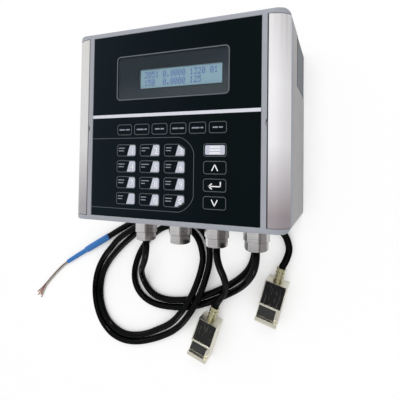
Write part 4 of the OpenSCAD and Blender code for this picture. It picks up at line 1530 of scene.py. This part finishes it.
@dataclass
class Flaps(Assembly):
    """The two hinged aluminium strips over the mounting screws."""

    edge: float = 0.3 * MM

    def build(self) -> None:
        """Rounds the edges of both strips and brushes them lengthwise."""
        # The left strip takes the shaded copy of the finish, which is painted shade.
        for name, finish in (("left_flap", SHADED_LEFT_FLAP), ("right_flap", FLAP)):
            self.clad(name, f"{name}_strip", finish, Slot.FLAP, self.edge, body=name)


@dataclass
class Panel(Assembly):
    """The black front panel with its window, divider and printed lines."""

    edge: float = 0.2 * MM
    print_thick: float = 0.03 * MM
    window_corner: float = 3 * MM
    window_line: float = 1.0 * MM
    window_line_gap: float = 0.35 * MM
    window_line_corner: float = 4.2 * MM
    mask_thick: float = 0.35 * MM
    mask_gap: float = 0.05 * MM
    aperture: Size = (86.4 * MM, 20.8 * MM)
    aperture_corner: float = 0.6 * MM
    group_top: float = -12.5 * MM
    group_bottom: float = -81.8 * MM
    group_right: float = 25.8 * MM
    group_corner: float = 15.5 * MM
    group_roundness: float = 0.42
    group_line: float = 0.5 * MM

    def build(self) -> None:
        """Dresses the panel sheets and prints the lines on them."""
        for node in ("display_panel", "keypad_panel"):
            self.clad(node, f"{node}_film", PANEL, Slot.PANEL, self.edge)
        self.clad("divider_strip", "divider_trim", DIVIDER, Slot.DIVIDER, self.edge)
        self.window()
        self.key_group()

    def window(self) -> None:
        """Makes the clear pane, the grey mask on its underside and the line round it."""
        low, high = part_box("display_window")
        sight = sum(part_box("lcd_glass"), Vector()) / 2
        x, y, _ = (low + high) / 2
        size = (high.x - low.x, high.y - low.y)
        mask = plate("window_mask", size, (x, y, low.z + self.mask_gap),
                     self.mask_thick - 2 * self.mask_gap, self.window_corner)
        hole = plate("hole", self.aperture, (sight.x, sight.y, low.z - self.mask_thick),
                     3 * self.mask_thick, self.aperture_corner)
        pick(hollowed(mask, hole))
        bpy.ops.object.shade_flat()
        seat(dress(mask, MASK), "root", Slot.WINDOW, "display_window")
        pane_z = low.z + self.mask_thick
        pane = plate("window_pane", size, (x, y, pane_z), high.z - pane_z, self.window_corner)
        seat(dress(eased(pane, self.edge), WINDOW), "root", Slot.WINDOW, "display_window")
        outer = inset(size, -(self.window_line + self.window_line_gap))
        line = plate("window_line", outer, (x, y, high.z), self.print_thick,
                     self.window_line_corner, self.window_line)
        seat(dress(line, GREY_INK), "root", Slot.PANEL)

    def key_group(self) -> None:
        """Prints the long line round the number keys, open at the panel's left edge."""
        low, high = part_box("keypad_panel")
        left = low.x - 2 * self.group_corner
        size = (self.group_right - left, self.group_top - self.group_bottom)
        middle = ((self.group_right + left) / 2, (self.group_top + self.group_bottom) / 2, high.z)
        line = plate("key_group_line", size, middle, self.print_thick, self.group_corner,
                     self.group_line, self.group_roundness)
        cut_away(line, (low.x + self.edge, 0, 0), (-1, 0, 0))
        seat(dress(line, KEY_INK), "root", Slot.PANEL)


class Mark(Enum):
    """What a key shows besides its outline."""

    NUMBER = "number"
    BACK = "back"
    LIST = "list"
    UP = "up"
    ENTER = "enter"
    DOWN = "down"
    BARS = "bars"


KEY_MARKS = {"key_back": Mark.BACK, "key_menu": Mark.LIST, "key_up": Mark.UP,
             "key_enter": Mark.ENTER, "key_down": Mark.DOWN,
             **{f"key_f{i}": Mark.BARS for i in range(1, 7)}}
# Strokes of each mark, in millimetres from its middle
STROKES: dict[Mark, tuple[tuple[Size, ...], ...]] = {
    Mark.UP: (((-2.7, -2.7), (0, 2.7), (2.7, -2.7)),),
    Mark.DOWN: (((-2.7, 2.7), (0, -2.7), (2.7, 2.7)),),
    Mark.ENTER: (((5.4, 3), (5.4, -1), (-5.2, -1)), ((-2.6, 1.4), (-5.4, -1), (-2.6, -3.4))),
    Mark.BACK: (((1.6, 2.6), (-1.6, 0), (1.6, -2.6)),),
    Mark.LIST: tuple(((-4.6, y), (4.6, y)) for y in (2.6, 0.0, -2.6)),
}
# Which outer corner of a key is cut at a slant: 1 the upper, -1 the lower
CUT_CORNERS = {"key_3": 1, "key_back": -1}


@dataclass(frozen=True)
class Face:
    """The face of one key, within its rounded edge."""

    key: str
    size: Size
    place: Point

    @property
    def cut(self) -> int:
        """Returns 1 or -1 where the upper or lower outer corner is cut, and else 0."""
        return CUT_CORNERS.get(self.key, 0)

    def at(self, x: float = 0.0, y: float = 0.0, z: float = 0.0) -> Point:
        """Returns the point at these distances from the face's middle."""
        return (self.place[0] + x, self.place[1] + y, self.place[2] + z)


@dataclass
class Keypad(Assembly):
    """The 22 keys, each a film-covered cap with its printed outline and mark."""

    edge: float = 0.18 * MM
    ink: float = 0.03 * MM
    line: float = 0.55 * MM
    corner: float = 2.3 * MM
    inner_corner: float = 1.61 * MM
    cut: Size = (6.2 * MM, 4.2 * MM)
    slant_inset_shares: Size = (0.3, 0.4)
    slant_length_share: float = 0.97
    patch_margin: float = 0.75 * MM
    patch_top_share: float = 0.69
    patch_bottom_share: float = 0.53
    patch_cut_share: float = 0.6
    figure_height: float = 8.2 * MM
    figure_swell: float = 0.12 * MM
    figure_steps: int = 4
    figure_weld: float = 0.005 * MM
    figure_shares: Size = (0.3, -0.08)
    shadow_shift: Size = (-0.25 * MM, -0.2 * MM)
    stroke: float = 0.95 * MM
    stroke_overlap_share: float = 0.6
    back_stroke: float = 1.0 * MM
    back_share: float = 0.27
    back_seed: int = 4
    list_stroke: float = 1.15 * MM
    bar_height: float = 1.25 * MM
    bar_gap: float = 0.9 * MM
    bar_corner_share: float = 0.3
    bar_shares: tuple[Size, Size] = ((0.3, 0.08), (0.16, 0.06))
    caption_height: float = 0.8 * MM
    caption_left: float = 1.8 * MM
    caption_rows: Size = (2.2 * MM, -0.4 * MM)
    caption_shares: tuple[Size, Size] = ((0.272, 0.056), (0.192, 0.048))

    def build(self) -> None:
        """Makes a cap and a print for each key."""
        for name in sorted(n for n in self.nodes if n.startswith("key_")):
            self.clad(name, f"{name}_cap", KEY, Slot.KEY, self.edge, body=name)
            self.print_key(name)

    def print_key(self, key: str) -> None:
        """Prints one key's outline and mark on its cap.

        Args:
            key: Name of the key.
        """
        low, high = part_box(key)
        face = Face(key, inset((high.x - low.x, high.y - low.y), self.edge),
                    ((low.x + high.x) / 2, (low.y + high.y) / 2, high.z))
        frame = plate("frame", face.size, face.place, self.ink, self.corner, self.line)
        dress(frame, KEY_INK)
        if face.cut:
            self.cut_corner(frame, face, face.size)
            frame = joined("frame", frame, self.slant_line(face))
        seat(joined(f"{key}_print", frame, *self.mark(face)), key, Slot.KEY)

    def mark(self, face: Face) -> list[Piece]:
        """Prints what one key shows within its outline.

        Args:
            face: The key's face.

        Returns:
            The prints.
        """
        kind = KEY_MARKS.get(face.key, Mark.NUMBER)
        match kind:
            case Mark.NUMBER:
                seed = 0 if face.key == "key_dot" else int(face.key[-1])
                return [self.patch(face), *self.numeral(face), *self.captions(face, seed)]
            case Mark.BACK:
                middle = face.at(face.size[0] * self.back_share, 0, self.ink)
                return [self.patch(face), *self.strokes(kind, middle, self.back_stroke),
                        *self.captions(face, self.back_seed)]
            case Mark.LIST:
                pale = plate("field", inset(face.size, 2 * self.patch_margin), face.place,
                             self.ink, self.inner_corner)
                return [dress(pale, PALE_INK),
                        *self.strokes(kind, face.at(z=self.ink), self.list_stroke)]
            case Mark.BARS:
                return self.bars(face, int(face.key[-1]))
            case _:
                return self.strokes(kind, face.place, self.stroke)

    def bar(self, size: Size, middle: Point, ink: Finish, turn: float = 0.0) -> Piece:
        """Prints a short bar with softly rounded ends, turned about its middle.

        Args:
            size: Length and width.
            middle: Middle of its underside.
            ink: Its finish.
            turn: Turn about its middle.

        Returns:
            The bar.
        """
        piece = plate("bar", size, (0, 0, 0), self.ink, min(size) * self.bar_corner_share)
        piece.rotation_euler = (0, 0, turn)
        piece.location = middle
        return dress(settle(piece), ink)

    def strokes(self, kind: Mark, place: Point, width: float) -> list[Piece]:
        """Prints a mark's strokes as white bars that overlap at their ends.

        Args:
            kind: The mark.
            place: Its middle.
            width: Width of a stroke.

        Returns:
            The bars.
        """
        made = []
        overlap = width * self.stroke_overlap_share
        for line in STROKES[kind]:
            points = [Vector((x * MM, y * MM)) for x, y in line]
            for start, end in zip(points, points[1:]):
                run, middle = end - start, (start + end) / 2
                made.append(self.bar((run.length + overlap, width),
                                     (place[0] + middle.x, place[1] + middle.y, place[2]),
                                     WHITE_INK, math.atan2(run.y, run.x)))
        return made

    def cut_corner(self, piece: Piece, face: Face, size: Size, inwards: float = 0.0) -> None:
        """Cuts the slanted outer corner off a flat piece of this size."""
        cut_away(piece, face.at(size[0] / 2 - self.cut[0] - inwards, face.cut * size[1] / 2),
                 (self.cut[1], face.cut * self.cut[0], 0))

    def slant_line(self, face: Face) -> Piece:
        """Prints the line along a cut corner.

        Args:
            face: The key's face.

        Returns:
            The line.
        """
        across, down = self.cut
        aside, lower = (self.line * share for share in self.slant_inset_shares)
        middle = face.at(face.size[0] / 2 - across / 2 - aside,
                         face.cut * (face.size[1] / 2 - down / 2 - lower))
        length = math.hypot(across, down) * self.slant_length_share
        return self.bar((length, self.line), middle, KEY_INK,
                        -face.cut * math.atan2(down, across))

    def patch(self, face: Face) -> Piece:
        """Prints the pale patch with its slanted left side.

        Args:
            face: The key's face.

        Returns:
            The patch.
        """
        inner = inset(face.size, self.patch_margin)
        piece = plate("patch", inner, face.place, self.ink, self.inner_corner)
        top_x = (self.patch_top_share - 0.5) * face.size[0]
        bottom_x = (self.patch_bottom_share - 0.5) * face.size[0]
        cut_away(piece, face.at((top_x + bottom_x) / 2), (-face.size[1], top_x - bottom_x, 0))
        if face.cut:
            self.cut_corner(piece, face, inner, self.line * self.patch_cut_share)
        return dress(piece, PALE_INK)

    def captions(self, face: Face, seed: int) -> list[Piece]:
        """Prints two short plain bars on the dark side of a number key.

        Args:
            face: The key's face.
            seed: Number that sets the lengths.

        Returns:
            The bars.
        """
        left = self.caption_left - face.size[0] / 2
        lengths = self.two_lengths(face, seed, self.caption_shares)
        return [self.bar((length, self.caption_height), face.at(left + length / 2, y), FADED_INK)
                for y, length in zip(self.caption_rows, lengths)]

    def two_lengths(self, face: Face, seed: int, shares: tuple[Size, Size]) -> list[float]:
        """Returns two lengths that change from key to key, each by its least share and step."""
        return [face.size[0] * (least + step * ((seed + k) % 3))
                for k, (least, step) in enumerate(shares)]

    def numeral(self, face: Face) -> list[Piece]:
        """Prints the key's numeral in white over its own grey shadow.

        Args:
            face: The key's face.

        Returns:
            The shadow and the numeral.
        """
        text = "." if face.key == "key_dot" else face.key[-1]
        x, y = face.size[0] * self.figure_shares[0], face.size[1] * self.figure_shares[1]
        dx, dy = self.shadow_shift
        shadow = self.figure(text, face.at(x + dx, y + dy, self.ink), self.figure_swell)
        white = self.figure(text, face.at(x, y, 2 * self.ink))
        return [dress(shadow, FADED_INK), dress(white, WHITE_INK)]

    def figure(self, text: str, place: Point, swell: float = 0.0) -> Piece:
        """Makes plain numerals as a flat mesh.

        Args:
            text: The numerals.
            place: Middle of the numerals, on their underside.
            swell: How much bolder the outline is drawn.

        Returns:
            The numerals as a mesh.
        """
        bpy.ops.object.select_all(action="DESELECT")
        bpy.ops.object.text_add()
        piece = bpy.context.object
        piece.data.body = text
        piece.data.size = self.figure_height
        piece.data.align_x = "CENTER"
        piece.data.align_y = "CENTER"
        piece.data.offset = swell
        piece.data.extrude = self.ink / 2
        piece.data.resolution_u = self.figure_steps
        piece = as_mesh(piece)
        piece.location = (place[0], place[1], place[2] + self.ink / 2)
        settle(piece)
        with editing(piece):
            bpy.ops.mesh.remove_doubles(threshold=self.figure_weld)
            bpy.ops.mesh.normals_make_consistent(inside=False)
        return piece

    def bars(self, face: Face, seed: int) -> list[Piece]:
        """Prints a short broken bar in the middle of a function key.

        Args:
            face: The key's face.
            seed: Number that sets the lengths.

        Returns:
            The bars.
        """
        first, second = self.two_lengths(face, seed, self.bar_shares)
        left = -(first + second + self.bar_gap) / 2
        return [self.bar((length, self.bar_height), face.at(x + length / 2), FADED_INK)
                for length, x in ((first, left), (second, left + first + self.bar_gap))]


# Dots of each digit, row by row from the top
DIGIT_DOTS = {
    "0": ("01110", "10001", "10011", "10101", "11001", "10001", "01110"),
    "1": ("00100", "01100", "00100", "00100", "00100", "00100", "01110"),
    "2": ("01110", "10001", "00001", "00010", "00100", "01000", "11111"),
    "3": ("11111", "00010", "00100", "00010", "00001", "10001", "01110"),
    "5": ("11111", "10000", "11110", "00001", "00001", "10001", "01110"),
    ".": ("00000", "00000", "00000", "00000", "00000", "01100", "01100"),
}


@dataclass
class Display(Assembly):
    """The character display behind the window."""

    rows: tuple[str, str] = ("2051 0.0000 1320 01", "150  0.0000 125    ")
    bezel_edge: float = 0.15 * MM
    dot: Size = (0.6 * MM, 0.82 * MM)
    dot_pitch: Size = (0.64 * MM, 0.86 * MM)
    cell_pitch: float = 3.98 * MM
    row_pitch: float = 7.6 * MM
    ink: float = 0.02 * MM

    def build(self) -> None:
        """Dresses the module and draws the two rows of digits."""
        self.clad("lcd_bezel", "display_bezel_frame", LCD_BEZEL, Slot.LCD_BEZEL,
                  self.bezel_edge, merged=False)
        self.dress_nodes(lcd_glass=LCD_FACE, lcd_board=BOARD)
        self.digits()

    def digits(self) -> None:
        """Sets one small square for each dark dot of each digit."""
        low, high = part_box("lcd_glass")
        middle = (low + high) / 2
        first = plate("dot", self.dot, (0, 0, 0), self.ink)
        dots = []
        for r, row in enumerate(self.rows):
            for c, letter in enumerate(row):
                x0 = middle.x + (c - (len(row) - 1) / 2) * self.cell_pitch
                y0 = middle.y + (0.5 - r) * self.row_pitch
                for x, y in self.dark_dots(letter, x0, y0):
                    copy = linked("dot", first.data.copy())
                    copy.location = (x, y, high.z)
                    dots.append(copy)
        bpy.data.objects.remove(first)
        digits = settle(joined("display_digits", *dots))
        seat(dress(digits, LCD_INK), "root", Slot.LCD_GLASS)

    def dark_dots(self, letter: str, x0: float, y0: float) -> Iterator[Size]:
        """Yields the middle of each dark dot of one character.

        Args:
            letter: The character.
            x0: Middle of its cell along X.
            y0: Middle of its cell along Y.

        Yields:
            The middle of a dot.
        """
        for j, line in enumerate(DIGIT_DOTS.get(letter, ())):
            for i, mark in enumerate(line):
                if mark == "1":
                    yield (x0 + (i - 2) * self.dot_pitch[0], y0 + (3 - j) * self.dot_pitch[1])


@dataclass
class Glands(Assembly):
    """Four plated cable glands in the lower wall."""

    edge: float = 0.35 * MM

    def build(self) -> None:
        """Rounds and plates the metal pieces, and colours the rubber ones."""
        # The nickel finish paints shade on one flat of each gland.
        self.clad("gland_bodies", "gland_body_metal", NICKEL, Slot.GLAND, self.edge)
        self.dress_nodes(gland_washers=SEAL, gland_seals=SEAL, gland_locknuts=NICKEL,
                         gland_nuts=NICKEL)


@dataclass
class Sensors(Assembly):
    """The two clamp-on sensors at the ends of their cables."""

    edge: float = 0.45 * MM
    relief_edge: float = 0.3 * MM
    label_edge: float = 0.08 * MM

    def build(self) -> tuple[list[Piece], list[Piece]]:
        """Dresses both sensors.

        Returns:
            The pieces of the first and of the second sensor.
        """
        first, second = (
            [self.clad(f"sensor_housing_{i}", f"sensor_block_{i}", STEEL, Slot.SENSOR, self.edge,
                       merged=False),
             self.clad(f"sensor_stub_{i}", f"sensor_relief_{i}", STUB, Slot.STUB,
                       self.relief_edge)]
            for i in (1, 2))
        wedges = dress(self.nodes["sensor_wedges"], WEDGE)
        return [*first, self.labels(), wedges], second

    def labels(self) -> Piece:
        """Gives each label plate streaks that run along its own sensor.

        Returns:
            The labels.
        """
        labels = self.clad("sensor_labels", "sensor_label_plates", LABELS[0], Slot.LABEL,
                           self.label_edge)
        dress(labels, *LABELS)
        middle_x = sum(v.co.x for v in labels.data.vertices) / len(labels.data.vertices)
        for face in labels.data.polygons:
            face.material_index = int(face.center.x > middle_x)
        return labels


class Insides(Assembly):
    """What the closed housing holds."""

    def build(self) -> None:
        """Gives each inner piece its finish."""
        self.dress_nodes(switch_board=BOARD, tactile_switches=BLOCK, main_board=BOARD,
                         board_spacers=BRASS, board_screws=SCREW, power_module=BLOCK,
                         terminal_blocks=TERMINAL)


def main() -> None:
    """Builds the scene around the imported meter."""
    logging.basicConfig(level=logging.INFO, format="%(name)s: %(message)s")
    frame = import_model()
    bpy.ops.object.select_all(action="DESELECT")
    nodes = frame["nodes"]
    Studio().build()
    cables = Cables()
    cables.build()
    cables.build_sensor_leads(*Sensors(nodes).build())
    for assembly in (Housing, Flaps, Panel, Keypad, Display, Glands, Insides):
        assembly(nodes).build()


if __name__ == "__main__":
    main()
